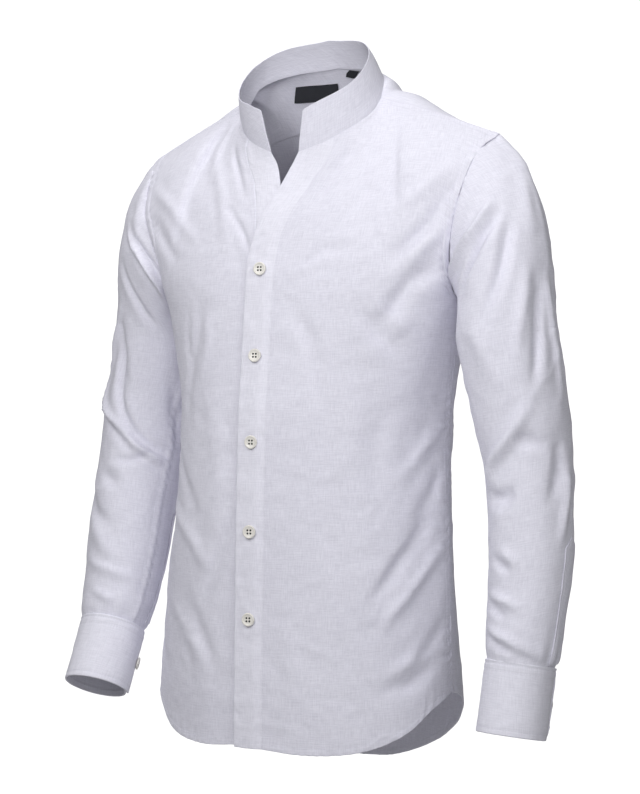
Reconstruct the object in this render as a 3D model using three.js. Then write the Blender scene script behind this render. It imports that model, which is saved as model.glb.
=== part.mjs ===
import * as THREE from 'three';

// Long-sleeved shirt with a stand collar, filled out as if worn and left open at the neck.
// Millimetres, +Z up. The wearer's left is +X and the front is -Y.
// Origin: middle of the neck base, at the height where the shoulder seams meet the collar.

// ---- Driving dimensions ----
const CLOTH = 1.2; // wall of a single layer
const BAND = 2.2; // wall of a folded and interlined band
const SEAM = 0.3; // gap between two pieces at a seam
const PROUD = 1.0; // how far a band's face stands over the panel beside it
const UNDERLAP = { depth: 1.7, starts: -34, full: -6 }; // dip of the right front under the left placket, from its edge
const CHEST_Z = -228; // level of the underarms
const BUTTON = { radius: 6.4, thick: 2.6, holeRadius: 0.95, holeSpread: 1.75 };
const BUTTON_LEVELS = [-189, -282, -374, -469, -562];
const YOKE_DEPTH = 0.3; // share of the back armhole that the yoke takes
const YOKE_RISE = { height: 12, share: 0.54, reach: 0.2 }; // fullness of the yoke behind the shoulder seam
const NECK_SHARE = 0.42; // share of a panel's top edge that lies on the collar seam
const STEPS = { neck: 6, shoulder: 5, frontUpper: 10, yoke: 6, backUpper: 8, lower: 9 };

// Collar seam and collar top: flat ovals whose height is read by the turn from the front centre
const NECK = { x: 0, y: 5, halfWidth: 86, halfDepth: 57, lean: -3 };
const NECK_HEIGHT = [
  { turn: 0, z: -61 }, { turn: 12, z: -59 }, { turn: 50, z: -36 }, { turn: 75, z: -16 },
  { turn: 92, z: 2 }, { turn: 108, z: 23 }, { turn: 140, z: 40 }, { turn: 180, z: 48 },
];
const COLLAR_TOP = { x: -6, y: -4, halfWidth: 79, halfDepth: 54, lean: 0 };
const COLLAR_HEIGHT = [
  { turn: 0, z: -22 }, { turn: 18, z: -18 }, { turn: 35, z: -7 }, { turn: 64, z: 11 },
  { turn: 88, z: 32 }, { turn: 108, z: 50 }, { turn: 140, z: 70 }, { turn: 180, z: 78 },
];
const COLLAR_ENDS = { left: 12, right: 13, topLeft: 23, topRight: 17 };
const RIGHT_COLLAR_RISE = 6.5; // the right end stands this much over the left one

// Torso below the underarms: half width, centre, and depth in front of and behind the centre
const TORSO = [
  { z: -228, half: 180, x: 8, y: 4, front: 105, back: 117, power: 2.4 },
  { z: -282, half: 168, x: 5, y: 11, front: 117, back: 100, power: 2.3 },
  { z: -340, half: 160, x: 2, y: 16, front: 128, back: 86, power: 2.2 },
  { z: -385, half: 159, x: 0, y: 16, front: 130, back: 83, power: 2.2 },
  { z: -440, half: 161, x: 0, y: 13, front: 129, back: 89, power: 2.2 },
  { z: -522, half: 168, x: -3, y: 9, front: 127, back: 103, power: 2.2 },
  { z: -641, half: 178, x: -5, y: 11, front: 131, back: 113, power: 2.2 },
  { z: -750, half: 181, x: -5, y: 11, front: 132, back: 115, power: 2.2 },
];
// Front centre line above the underarms, and how fast the cloth curves away beside it
const CENTRE_LINE = [
  { z: -30, y: -44, curve: 0.0042 }, { z: -61, y: -52, curve: 0.0039 }, { z: -101, y: -68, curve: 0.003 },
  { z: -140, y: -84, curve: 0.0024 }, { z: -189, y: -96, curve: 0.0019 }, { z: -228, y: -101, curve: 0.0014 },
];
// Edge of each front and the seam of the band on it
const LEFT_BAND = [
  { z: -40, edge: 26, seam: 57 }, { z: -61, edge: 18, seam: 50 }, { z: -101, edge: 3, seam: 37 },
  { z: -131, edge: -10, seam: 24 }, { z: -169, edge: -17.6, seam: 16.4 }, { z: -200, edge: -18, seam: 16 },
  { z: -800, edge: -18, seam: 16 },
];
const RIGHT_BAND = [
  { z: -36, edge: -28, seam: -58 }, { z: -56, edge: -19.3, seam: -50 }, { z: -72, edge: -8.6, seam: -43 },
  { z: -101, edge: 3.3, seam: -31 }, { z: -131, edge: 12, seam: -22 }, { z: -169, edge: 17, seam: -17 },
  { z: -200, edge: 17.5, seam: -16.5 }, { z: -800, edge: 17.5, seam: -16.5 },
];
// Blank tapes inside the yoke: across the yoke, and down it as a share of its depth
const TAPE = 1;
const NECK_LABEL = {
  side: 'right', lift: 1.1, top: { depth: 0.29, from: -6, to: -55 }, bottom: { depth: 0.55, from: -10, to: -62 },
};
const SIZE_TAB = {
  side: 'left', lift: 1.2, top: { depth: 0.04, from: 16, to: 30 }, bottom: { depth: 0.2, from: 8, to: 21 },
};
// Turn from the front centre where each band ends on the collar seam
const BAND_TURN = { left: 40, right: 42 };
const SHOULDER_TURN = 92;
const SHOULDER = { rise: 3, neckClimb: 48, tipClimb: 6, cornerShare: 0.4 }; // arch of its seam, and how steeply cloth climbs over it

// Armholes, from the shoulder tip (share 0) to the underarm (share 1)
const ARMHOLE = {
  left: {
    front: [
      { share: 0, x: 232, y: 6, z: -49 }, { share: 0.15, x: 219, y: -18, z: -69 },
      { share: 0.39, x: 208, y: -40, z: -115 }, { share: 0.63, x: 198, y: -43, z: -167 },
      { share: 0.85, x: 190, y: -24, z: -209 }, { share: 1, x: 188, y: 4, z: -228 },
    ],
    back: [
      { share: 0, x: 232, y: 6, z: -49 }, { share: 0.15, x: 224, y: 30, z: -65 },
      { share: 0.39, x: 214, y: 47, z: -115 }, { share: 0.63, x: 206, y: 50, z: -165 },
      { share: 0.85, x: 193, y: 32, z: -209 }, { share: 1, x: 188, y: 4, z: -228 },
    ],
  },
  right: {
    front: [
      { share: 0, x: -211, y: 6, z: -47 }, { share: 0.15, x: -204, y: -18, z: -67 },
      { share: 0.39, x: -197, y: -40, z: -116 }, { share: 0.63, x: -171, y: -53, z: -167 },
      { share: 0.85, x: -166, y: -32, z: -209 }, { share: 1, x: -172, y: 4, z: -228 },
    ],
    back: [
      { share: 0, x: -211, y: 6, z: -47 }, { share: 0.15, x: -206, y: 30, z: -65 },
      { share: 0.39, x: -197, y: 47, z: -115 }, { share: 0.63, x: -190, y: 50, z: -165 },
      { share: 0.85, x: -177, y: 32, z: -209 }, { share: 1, x: -172, y: 4, z: -228 },
    ],
  },
};
// Lower edge of the yoke, by share of the way from the centre back to the armhole
const YOKE_EDGE = [
  { share: 0, x: 0, y: 90, z: -19 }, { share: 0.2, x: 45, y: 88, z: -19 }, { share: 0.42, x: 92, y: 79, z: -25 },
  { share: 0.7, x: 152, y: 66, z: -52 }, { share: 0.88, x: 195, y: 52, z: -82 }, { share: 1, x: 217, y: 42, z: -98 },
];
// Hems, by share of the way from the centre to the side seam
const HEM = {
  frontLeft: [
    { share: 0, z: -698 }, { share: 0.2, z: -701 }, { share: 0.45, z: -696 }, { share: 0.66, z: -680 },
    { share: 0.85, z: -655 }, { share: 1, z: -641 },
  ],
  frontRight: [
    { share: 0, z: -696 }, { share: 0.2, z: -699 }, { share: 0.4, z: -690 }, { share: 0.58, z: -664 },
    { share: 0.8, z: -645 }, { share: 1, z: -638 },
  ],
  back: [
    { share: 0, z: -741 }, { share: 0.15, z: -737 }, { share: 0.39, z: -714 }, { share: 0.6, z: -686 },
    { share: 0.8, z: -655 }, { share: 1, z: -641 },
  ],
};

// Sleeves: centre of each section, half width across the arm and half depth along it
const ARM = {
  left: [
    { z: -262, x: 253, y: -17, across: 53, along: 55 }, { z: -308, x: 261, y: -14, across: 51.5, along: 54 },
    { z: -350, x: 268, y: -12, across: 49.5, along: 52 }, { z: -391, x: 274, y: -10, across: 46, along: 48 },
    { z: -433, x: 278, y: -13, across: 44.5, along: 46 }, { z: -495, x: 281, y: -20, across: 42.5, along: 44 },
    { z: -536, x: 281, y: -27, across: 40.5, along: 42 }, { z: -575, x: 281, y: -36, across: 38.5, along: 40 },
    { z: -599, x: 280, y: -41, across: 37, along: 38 },
  ],
  right: [
    { z: -262, x: -222, y: 22, across: 50, along: 53 }, { z: -308, x: -228, y: 20, across: 51, along: 53 },
    { z: -350, x: -233, y: 12, across: 51, along: 52 }, { z: -400, x: -233, y: 0, across: 50, along: 50 },
    { z: -447, x: -233, y: -14, across: 48, along: 48 }, { z: -513, x: -232, y: -31, across: 46, along: 46 },
    { z: -555, x: -231, y: -46, across: 42, along: 42 }, { z: -588, x: -230, y: -61, across: 37.5, along: 38 },
  ],
};
const CAP_LEVELS = [0, 0.12, 0.26, 0.42, 0.58, 0.76]; // stations between the armhole and the upper arm
const ARM_RINGS = 14; // stations between the upper arm and the cuff

// Cuffs: a strip rolled round the wrist whose far end laps over its near end at the opening
const CUFF = { height: 72, half: 35.6, lap: 24, endTurn: { left: -40, right: 230 } };
const CUFF_AXIS = { left: [-0.055, -0.18, -1], right: [0.03, -0.5, -1] };
const GAUNTLET = { width: 24, length: 128, turn: { left: -6, right: 216 } };

// Folds: level, turn round the piece, depth, and reach up and down and round
const BODY_FOLDS = [
  { z: -330, turn: -38, depth: -5, tall: 60, wide: 9 }, { z: -470, turn: 46, depth: 4, tall: 34, wide: 14 },
  { z: -520, turn: 30, depth: -4, tall: 40, wide: 10 }, { z: -420, turn: 148, depth: 5, tall: 28, wide: 22 },
  { z: -455, turn: 205, depth: -4, tall: 24, wide: 26 }, { z: -560, turn: 165, depth: 4, tall: 70, wide: 9 },
];
const SLEEVE_FOLDS = {
  left: [
    { z: -372, turn: 30, depth: -5, tall: 16, wide: 34 }, { z: -396, turn: 66, depth: 4, tall: 14, wide: 40 },
    { z: -424, turn: 96, depth: -4, tall: 15, wide: 36 }, { z: -300, turn: 84, depth: -5, tall: 44, wide: 14 },
    { z: -540, turn: 130, depth: 3.5, tall: 14, wide: 40 }, { z: -400, turn: 250, depth: -4, tall: 20, wide: 40 },
  ],
  right: [
    { z: -322, turn: 28, depth: 4, tall: 16, wide: 40 }, { z: -352, turn: 40, depth: -6, tall: 16, wide: 40 },
    { z: -250, turn: 66, depth: -5, tall: 60, wide: 14 }, { z: -430, turn: 80, depth: -3, tall: 18, wide: 40 },
    { z: -380, turn: 190, depth: -5, tall: 24, wide: 40 }, { z: -530, turn: 120, depth: 3, tall: 16, wide: 40 },
  ],
};

// Directions in which cloth leaves a seam, as seen on the left side
const LEAVE = { collarFront: [0.12, -0.42, -0.9], collarBack: [0, 0.55, -0.83], armhole: [0.8, -0.3, -0.56] };

// ---- Materials ----
const cloth = new THREE.MeshStandardMaterial({ color: 0xdedde8, roughness: 0.95, metalness: 0 });
const ivory = new THREE.MeshStandardMaterial({ color: 0xe9e4d8, roughness: 0.35, metalness: 0 });
const darkTape = new THREE.MeshStandardMaterial({ color: 0x23242a, roughness: 0.9, metalness: 0 });

// ---- Reading tables and small vector work ----
const { clamp, degToRad, radToDeg, lerp, smoothstep } = THREE.MathUtils;
const vec = (x, y, z) => new THREE.Vector3(x, y, z);
const sign = (side) => (side === 'left' ? 1 : -1);
const range = (count) => Array.from({ length: count + 1 }, (_, i) => i / count);

// Smooth value of one column of a table whose rows are in order of `key`
function read(table, key, at, column) {
  const rising = Math.sign(table[1][key] - table[0][key]);
  const last = table.length - 1;
  let i = 0;
  while (i < last - 1 && (at - table[i + 1][key]) * rising > 0) i += 1;
  const slope = (j) => {
    const before = table[Math.max(j - 1, 0)];
    const after = table[Math.min(j + 1, last)];
    return (after[column] - before[column]) / (after[key] - before[key]);
  };
  const step = table[i + 1][key] - table[i][key];
  const t = clamp((at - table[i][key]) / step, 0, 1);
  const rise = table[i + 1][column] - table[i][column];
  const ease = t * t * (3 - 2 * t);
  return table[i][column] + rise * ease
    + step * (slope(i) * t * (1 - t) ** 2 - slope(i + 1) * t * t * (1 - t));
}

const readPoint = (table, key, at) => vec(read(table, key, at, 'x'), read(table, key, at, 'y'), read(table, key, at, 'z'));

// Smooth curve from a to b that leaves along `out` and arrives along `into`
function sweep(a, out, b, into, t) {
  const length = a.distanceTo(b);
  return a.clone().multiplyScalar((1 + 2 * t) * (1 - t) ** 2)
    .addScaledVector(b, t * t * (3 - 2 * t))
    .addScaledVector(out, length * t * (1 - t) ** 2)
    .addScaledVector(into, -length * t * t * (1 - t));
}

function oval(ring, heights, turn) {
  const angle = degToRad(turn);
  const away = Math.abs(((turn + 540) % 360) - 180);
  const z = read(heights, 'turn', away, 'z') + ring.lean * Math.sin(angle);
  return vec(ring.x + ring.halfWidth * Math.sin(angle), ring.y - ring.halfDepth * Math.cos(angle), z);
}

const neckSeam = (turn) => oval(NECK, NECK_HEIGHT, turn);
const collarTop = (turn) => oval(COLLAR_TOP, COLLAR_HEIGHT, turn);

// Point of the torso at a level; `swing` runs from -90 to 90 degrees, right side seam to left
function torso(z, swing, face) {
  const get = (column) => read(TORSO, 'z', z, column);
  const across = Math.sin(degToRad(swing));
  const round = (1 - Math.abs(across) ** get('power')) ** (1 / get('power'));
  const depth = face === 'front' ? -get('front') : get('back');
  return vec(get('x') + get('half') * across, get('y') + depth * round, z);
}

const torsoFall = (swing, face) => torso(CHEST_Z - 4, swing, face).sub(torso(CHEST_Z, swing, face)).divideScalar(4);

// Cloth beside the front centre line
function chestFront(x, z) {
  if (z < CHEST_Z) {
    const get = (column) => read(TORSO, 'z', z, column);
    return torso(z, radToDeg(Math.asin((x - get('x')) / get('half'))), 'front');
  }
  return vec(x, read(CENTRE_LINE, 'z', z, 'y') + read(CENTRE_LINE, 'z', z, 'curve') * x * x, z);
}

// Shoulder seam from the collar (0) to the shoulder tip (1)
function shoulderSeam(side, share) {
  const start = neckSeam(sign(side) * SHOULDER_TURN);
  const end = readPoint(ARMHOLE[side].front, 'share', 0);
  return start.lerp(end, share).add(vec(0, 0, SHOULDER.rise * Math.sin(Math.PI * share)));
}

// Direction in which the cloth climbs backwards over the shoulder seam
function shoulderClimb(share) {
  const angle = degToRad(lerp(SHOULDER.neckClimb, SHOULDER.tipClimb, Math.max(share, 0)));
  return vec(0, Math.cos(angle), Math.sin(angle));
}

// Direction in which a panel's cloth leaves its upper edge at the corner where the collar meets the
// shoulder seam and beside it; `way` is 1 for the yoke and -1 for a front
function leaveShoulder(side, share, way) {
  const along = shoulderSeam(side, 0.05).sub(shoulderSeam(side, 0)).normalize();
  const corner = along.addScaledVector(shoulderClimb(0), way).normalize();
  return corner.lerp(shoulderClimb(share).multiplyScalar(way), smoothstep(share, 0, SHOULDER.cornerShare));
}

function shoulderNormal(side, share) {
  const along = shoulderSeam(side, share + 0.02).sub(shoulderSeam(side, share - 0.02));
  return along.cross(shoulderClimb(share)).multiplyScalar(sign(side)).normalize();
}

const armhole = (side, face, share) => readPoint(ARMHOLE[side][face], 'share', share);

function yokeEdge(side, share) {
  const point = readPoint(YOKE_EDGE, 'share', share);
  const end = armhole(side, 'back', YOKE_DEPTH);
  const last = YOKE_EDGE.at(-1);
  point.x *= end.x / last.x;
  return point.add(vec(0, end.y - last.y, end.z - last.z).multiplyScalar(share ** 3));
}

// Sum of the folds at a level and a turn
function foldDepth(folds, z, turn) {
  return folds.reduce((sum, fold) => {
    const round = ((turn - fold.turn + 540) % 360) - 180;
    return sum + fold.depth * Math.exp(-(((z - fold.z) / fold.tall) ** 2) - (round / fold.wide) ** 2);
  }, 0);
}

// ---- Turning a grid of points into a closed wall ----
// Outward direction at each point; `above`, `below`, `start` and `end` are the nearest rows and
// columns of the pieces that join on, and `seam` gives the direction for points of the first row that two pieces share
function normals(grid, { wrap = false, flip = false, above = [], below = [], start = [], end = [], seam = [] } = {}) {
  const rows = grid.length;
  return grid.map((row, j) => row.map((point, i) => {
    if (j === 0 && seam[i]) return seam[i].clone();
    const count = row.length;
    const before = i > 0 || wrap ? row[(i + count - 1) % count] : start[j] ?? point;
    const after = i < count - 1 || wrap ? row[(i + 1) % count] : end[j] ?? point;
    const upper = j > 0 ? grid[j - 1][i] : above[i] ?? point;
    const lower = j < rows - 1 ? grid[j + 1][i] : below[i] ?? point;
    const normal = after.clone().sub(before).cross(lower.clone().sub(upper)).normalize();
    return flip ? normal.negate() : normal;
  }));
}

// Move every point along its normal by `height`, a number or a function of the point, row and column
function lift(grid, height, options) {
  const amount = typeof height === 'function' ? height : () => height;
  const out = normals(grid, options);
  return grid.map((row, j) => row.map((point, i) => point.clone().addScaledVector(out[j][i], amount(point, j, i))));
}

// Pull the named edges of a grid back from a seam, by half its gap or by another distance
function trim(grid, edges, gap = SEAM / 2) {
  const pull = (point, inner) => point.addScaledVector(inner.clone().sub(point).normalize(), gap);
  const last = grid.length - 1;
  if (edges.includes('top')) grid[0].forEach((point, i) => pull(point, grid[1][i]));
  if (edges.includes('bottom')) grid[last].forEach((point, i) => pull(point, grid[last - 1][i]));
  grid.forEach((row) => {
    if (edges.includes('start')) pull(row[0], row[1]);
    if (edges.includes('end')) pull(row.at(-1), row.at(-2));
  });
  return grid;
}

// Closed wall whose outer face is the grid and whose inner face lies `thick` inside it
function wall(grid, thick, options = {}) {
  const { wrap = false, flip = false } = options;
  const inner = lift(grid, -thick, options);
  const rows = grid.length;
  const count = grid[0].length;
  const points = [...grid.flat(), ...inner.flat()];
  const index = (j, i, layer) => layer * rows * count + j * count + (i % count);
  const faces = [];
  const quad = (a, b, c, d) => (flip ? faces.push(a, c, b, a, d, c) : faces.push(a, b, c, a, c, d));
  const spans = wrap ? count : count - 1;
  for (let j = 0; j < rows - 1; j += 1) {
    for (let i = 0; i < spans; i += 1) {
      quad(index(j, i, 0), index(j, i + 1, 0), index(j + 1, i + 1, 0), index(j + 1, i, 0));
      quad(index(j, i, 1), index(j + 1, i, 1), index(j + 1, i + 1, 1), index(j, i + 1, 1));
    }
    if (!wrap) {
      quad(index(j, 0, 1), index(j, 0, 0), index(j + 1, 0, 0), index(j + 1, 0, 1));
      quad(index(j, spans, 0), index(j, spans, 1), index(j + 1, spans, 1), index(j + 1, spans, 0));
    }
  }
  for (let i = 0; i < spans; i += 1) {
    quad(index(0, i, 1), index(0, i + 1, 1), index(0, i + 1, 0), index(0, i, 0));
    quad(index(rows - 1, i, 0), index(rows - 1, i + 1, 0), index(rows - 1, i + 1, 1), index(rows - 1, i, 1));
  }
  const geometry = new THREE.BufferGeometry();
  geometry.setAttribute('position', new THREE.Float32BufferAttribute(points.flatMap((p) => p.toArray()), 3));
  geometry.setIndex(faces);
  return geometry;
}

function piece(name, geometry, material) {
  const mesh = new THREE.Mesh(geometry, material);
  mesh.name = name;
  return mesh;
}

// ---- Fronts and their bands ----
const TOP_SHARES = [
  ...range(STEPS.neck).map((t) => t * NECK_SHARE),
  ...range(STEPS.shoulder).slice(1).map((t) => NECK_SHARE + t * (1 - NECK_SHARE)),
];

const bandTable = (side) => (side === 'left' ? LEFT_BAND : RIGHT_BAND);

// The right front passes under the left placket: depth of the dip at a point
function dipAt(point) {
  const edge = read(LEFT_BAND, 'z', point.z, 'edge');
  return -UNDERLAP.depth * smoothstep(point.x, edge + UNDERLAP.starts, edge + UNDERLAP.full);
}

function frontGrid(side) {
  const s = sign(side);
  const hem = side === 'left' ? HEM.frontLeft : HEM.frontRight;
  const start = BAND_TURN[side];
  const seamX = (z) => read(bandTable(side), 'z', z, 'seam');
  const chestStart = s * radToDeg(Math.asin((seamX(CHEST_Z) - TORSO[0].x) / TORSO[0].half));
  const top = (share) => (share <= NECK_SHARE
    ? neckSeam(s * lerp(start, SHOULDER_TURN, share / NECK_SHARE))
    : shoulderSeam(side, (share - NECK_SHARE) / (1 - NECK_SHARE)));
  const pull = (share) => (share < NECK_SHARE
    ? vec(s * LEAVE.collarFront[0], LEAVE.collarFront[1], LEAVE.collarFront[2]).lerp(leaveShoulder(side, 0, -1), share / NECK_SHARE)
    : leaveShoulder(side, (share - NECK_SHARE) / (1 - NECK_SHARE), -1));
  const swing = (share) => s * lerp(chestStart, 90, share);
  const upper = range(STEPS.frontUpper).map((t) => {
    const sheet = (share) => sweep(top(share), pull(share), torso(CHEST_Z, swing(share), 'front'),
      torsoFall(swing(share), 'front'), t);
    const inner = sheet(0);
    const innerShift = chestFront(seamX(inner.z), inner.z).sub(inner).multiplyScalar(smoothstep(t, 0, 0.3));
    const outerShift = armhole(side, 'front', t).sub(sheet(1));
    return TOP_SHARES.map((share) => sheet(share)
      .addScaledVector(innerShift, (1 - share) ** 3)
      .addScaledVector(outerShift, share ** 3));
  });
  const lower = range(STEPS.lower).slice(1).map((t) => TOP_SHARES.map((share) => {
    const z = lerp(CHEST_Z, read(hem, 'share', share, 'z'), t);
    const seam = chestFront(seamX(z), z);
    const from = Math.asin((seam.x - read(TORSO, 'z', z, 'x')) / read(TORSO, 'z', z, 'half'));
    return torso(z, lerp(radToDeg(from), s * 90, share), 'front');
  }));
  return [...upper, ...lower];
}

// Folds on a torso panel, faded out at its edges so that seams still meet
function foldBody(grid, options) {
  const last = grid.length - 1;
  return lift(grid, (point, j, i) => {
    const turn = radToDeg(Math.atan2(point.x, -point.y));
    const across = i / (grid[j].length - 1);
    const fade = Math.min(1, 6 * across) * Math.min(1, 6 * (1 - across)) * Math.min(1, j / 2, (last - j + 1) / 2);
    return foldDepth(BODY_FOLDS, point.z, turn) * fade;
  }, options);
}

// Band beside a front's inner seam; its own rows start on the collar seam
function bandGrid(side, seamColumn) {
  const s = sign(side);
  const ends = COLLAR_ENDS[side];
  const drop = neckSeam(s * BAND_TURN[side]).z - neckSeam(s * ends).z;
  return seamColumn.map((seam, j) => {
    const slant = Math.max(0, 1 - j / 5);
    return range(2).map((t) => {
      if (j === 0) return neckSeam(s * lerp(ends, BAND_TURN[side], t));
      const z = seam.z - drop * slant * (1 - t);
      const edge = read(bandTable(side), 'z', z, 'edge');
      return chestFront(lerp(edge, seam.x, t), z);
    });
  });
}

function front(side) {
  const flip = side === 'left';
  let grid = frontGrid(side);
  let band = bandGrid(side, grid.map((row) => row[0]));
  if (side === 'right') {
    grid = lift(grid, dipAt, { flip });
    band = lift(band, dipAt, { flip });
    band.forEach((row, j) => row.at(-1).copy(grid[j][0]));
  }
  grid = trim(foldBody(grid, { flip }), ['top', 'start', 'end']);
  const options = { flip, end: grid.map((row) => row[1]) };
  const face = side === 'left' ? lift(band, PROUD, options) : band;
  trim(face, ['top', 'end'], 2 * SEAM);
  const bandName = side === 'left' ? 'placket_left' : 'button_band_right';
  const beside = face.map((row) => row.at(-2));
  return {
    panel: grid,
    beside,
    band: piece(bandName, wall(face, BAND, options), cloth),
  };
}

// ---- Yoke and back ----
function backTop(side, share) {
  if (share > NECK_SHARE) return shoulderSeam(side, (share - NECK_SHARE) / (1 - NECK_SHARE));
  return neckSeam(sign(side) * lerp(180, SHOULDER_TURN, share / NECK_SHARE));
}

// Columns of the yoke and the back, from the right armhole to the left one
const BACK_COLUMNS = [
  ...TOP_SHARES.slice(1).reverse().map((share) => ({ side: 'right', share })),
  ...TOP_SHARES.map((share) => ({ side: 'left', share })),
];

// Direction of the cloth as it falls across the yoke's lower edge
const yokeFall = (share) => vec(0, lerp(0.42, 0.3, share), lerp(-0.9, -0.95, share));

function yokePoint({ side, share }, t) {
  const leave = (share) => {
    if (share > NECK_SHARE) return leaveShoulder(side, (share - NECK_SHARE) / (1 - NECK_SHARE), 1);
    return vec(...LEAVE.collarBack).lerp(leaveShoulder(side, 0, 1), share / NECK_SHARE);
  };
  const sheet = (at) => sweep(backTop(side, at), leave(at), yokeEdge(side, at), yokeFall(at), t);
  const outerShift = armhole(side, 'back', t * YOKE_DEPTH).sub(sheet(1));
  const rise = YOKE_RISE.height * Math.sin(Math.PI * t) * Math.exp(-(((share - YOKE_RISE.share) / YOKE_RISE.reach) ** 2));
  return sheet(share).addScaledVector(outerShift, share ** 3).add(vec(0, 0, rise));
}

// Point of the yoke at a distance across it, found by halving
function yokeAcross(side, x, t) {
  let low = 0;
  let high = 1;
  for (let i = 0; i < 16; i += 1) {
    const middle = (low + high) / 2;
    if (Math.abs(yokePoint({ side, share: middle }, t).x) < Math.abs(x)) low = middle;
    else high = middle;
  }
  return yokePoint({ side, share: low }, t);
}

const yokeGrid = () => range(STEPS.yoke).map((t) => BACK_COLUMNS.map((column) => yokePoint(column, t)));

function backGrid() {
  const upper = range(STEPS.backUpper).map((t) => BACK_COLUMNS.map(({ side, share }) => {
    const sheet = (at) => {
      const swing = sign(side) * 90 * at;
      return sweep(yokeEdge(side, at), yokeFall(at), torso(CHEST_Z, swing, 'back'), torsoFall(swing, 'back'), t);
    };
    const outerShift = armhole(side, 'back', lerp(YOKE_DEPTH, 1, t)).sub(sheet(1));
    return sheet(share).addScaledVector(outerShift, share ** 3);
  }));
  const lower = range(STEPS.lower).slice(1).map((t) => BACK_COLUMNS.map(({ side, share }) => (
    torso(lerp(CHEST_Z, read(HEM.back, 'share', share, 'z'), t), sign(side) * 90 * share, 'back')
  )));
  return [...upper, ...lower];
}

// ---- Collar ----
function collarGrid() {
  const turns = (side) => {
    const ends = COLLAR_ENDS[side];
    const band = range(2).map((t) => lerp(ends, BAND_TURN[side], t));
    const panel = range(STEPS.neck).slice(1).map((t) => lerp(BAND_TURN[side], SHOULDER_TURN, t));
    const yoke = range(STEPS.neck).slice(1).map((t) => lerp(SHOULDER_TURN, 180, t));
    return [...band, ...panel, ...yoke];
  };
  const left = turns('left');
  const right = turns('right').slice(0, -1).reverse().map((turn) => 360 - turn);
  const topTurn = (turn) => (turn <= 180
    ? lerp(COLLAR_ENDS.topLeft, 180, (turn - COLLAR_ENDS.left) / (180 - COLLAR_ENDS.left))
    : lerp(180, 360 - COLLAR_ENDS.topRight, (turn - 180) / (180 - COLLAR_ENDS.right)));
  const all = [...left, ...right];
  const columns = all.map((turn, i) => {
    const base = neckSeam(turn).add(vec(0, 0, SEAM));
    const top = collarTop(topTurn(turn)).add(vec(0, 0, RIGHT_COLLAR_RISE * smoothstep(turn, 300, 347)));
    const endDrop = i === 0 || i === all.length - 1 ? 0.05 : 0;
    return range(3).map((t) => base.clone().lerp(top, t * (1 - endDrop)));
  });
  return range(3).map((_, j) => columns.map((column) => column[j]));
}

// ---- Sleeves, cuffs and gauntlets ----
const ARMHOLE_STOPS = [
  ...range(STEPS.frontUpper).map((share) => ({ face: 'front', share })),
  ...range(STEPS.backUpper).slice(0, -1).reverse()
    .map((t) => ({ face: 'back', share: lerp(YOKE_DEPTH, 1, t) })),
  ...range(STEPS.yoke).slice(1, -1).reverse().map((t) => ({ face: 'back', share: t * YOKE_DEPTH })),
];
// Turn round the arm: 0 points away from the body, 90 to the front, 180 to the body
const stopTurn = ({ face, share }) => (face === 'front' ? 180 * share : 360 - 180 * share);

function armFrame(side, z) {
  const at = (level) => vec(read(ARM[side], 'z', level, 'x'), read(ARM[side], 'z', level, 'y'), level);
  const down = at(z - 3).sub(at(z + 3)).normalize();
  if (z <= ARM[side].at(-1).z + 20) down.set(...CUFF_AXIS[side]).normalize();
  const out = vec(sign(side), 0, 0);
  out.addScaledVector(down, -out.dot(down)).normalize();
  const forward = vec(0, -1, 0).addScaledVector(down, down.y);
  forward.addScaledVector(out, -forward.dot(out)).normalize();
  return { centre: at(z), down, out, forward };
}

function armPoint(frame, across, along, turn) {
  const angle = degToRad(turn);
  return frame.centre.clone()
    .addScaledVector(frame.out, across * Math.cos(angle))
    .addScaledVector(frame.forward, along * Math.sin(angle));
}

function sleevePoint(side, z, turn) {
  const across = read(ARM[side], 'z', z, 'across') + foldDepth(SLEEVE_FOLDS[side], z, turn);
  const along = read(ARM[side], 'z', z, 'along') + foldDepth(SLEEVE_FOLDS[side], z, turn);
  return armPoint(armFrame(side, z), across, along, turn);
}

function sleeveGrid(side) {
  const s = sign(side);
  const first = ARM[side][0].z;
  const last = ARM[side].at(-1).z;
  const cap = CAP_LEVELS.map((t) => ARMHOLE_STOPS.map((stop) => {
    const turn = stopTurn(stop);
    const angle = degToRad(turn);
    const start = armhole(side, stop.face, stop.share);
    const [out, forward, fall] = LEAVE.armhole;
    const leave = vec(s * out, forward * Math.sin(angle), fall).normalize();
    return sweep(start, leave, sleevePoint(side, first, turn), armFrame(side, first).down, t);
  }));
  const arm = range(ARM_RINGS).map((t) => ARMHOLE_STOPS.map((stop) => (
    sleevePoint(side, lerp(first, last, t), stopTurn(stop)))));
  return [...cap, ...arm];
}

// Cuff strip: `share` runs from the near end, which lies under, to the far end, which lies over
function cuffPoint(side, share, drop) {
  const frame = armFrame(side, ARM[side].at(-1).z);
  const lapTurn = radToDeg(CUFF.lap / CUFF.half);
  const turn = CUFF.endTurn[side] - (1 - share) * (360 + lapTurn);
  const over = smoothstep(share, 0.45, 0.85) * (BAND + 2 * SEAM);
  const half = CUFF.half + over;
  return armPoint(frame, half, half, turn).addScaledVector(frame.down, drop);
}

function cuffGrid(side) {
  const levels = [SEAM, CUFF.height / 2, CUFF.height];
  return levels.map((drop) => range(28).map((share) => cuffPoint(side, share, drop)));
}

// Strip that finishes the sleeve opening, lying on the sleeve above the cuff, with a pointed top
function gauntletGrid(side) {
  const end = ARM[side].at(-1).z;
  const flip = side === 'left';
  const rows = range(6).map((t) => {
    const z = end + 2 + (1 - t) * GAUNTLET.length;
    const narrow = t === 0 ? 0.3 : 1;
    const half = radToDeg(GAUNTLET.width / 2 / read(ARM[side], 'z', z, 'across')) * narrow;
    return range(2).map((k) => sleevePoint(side, z, GAUNTLET.turn[side] + lerp(half, -half, k)));
  });
  return lift(rows, CLOTH + 3 * SEAM, { flip });
}

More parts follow.
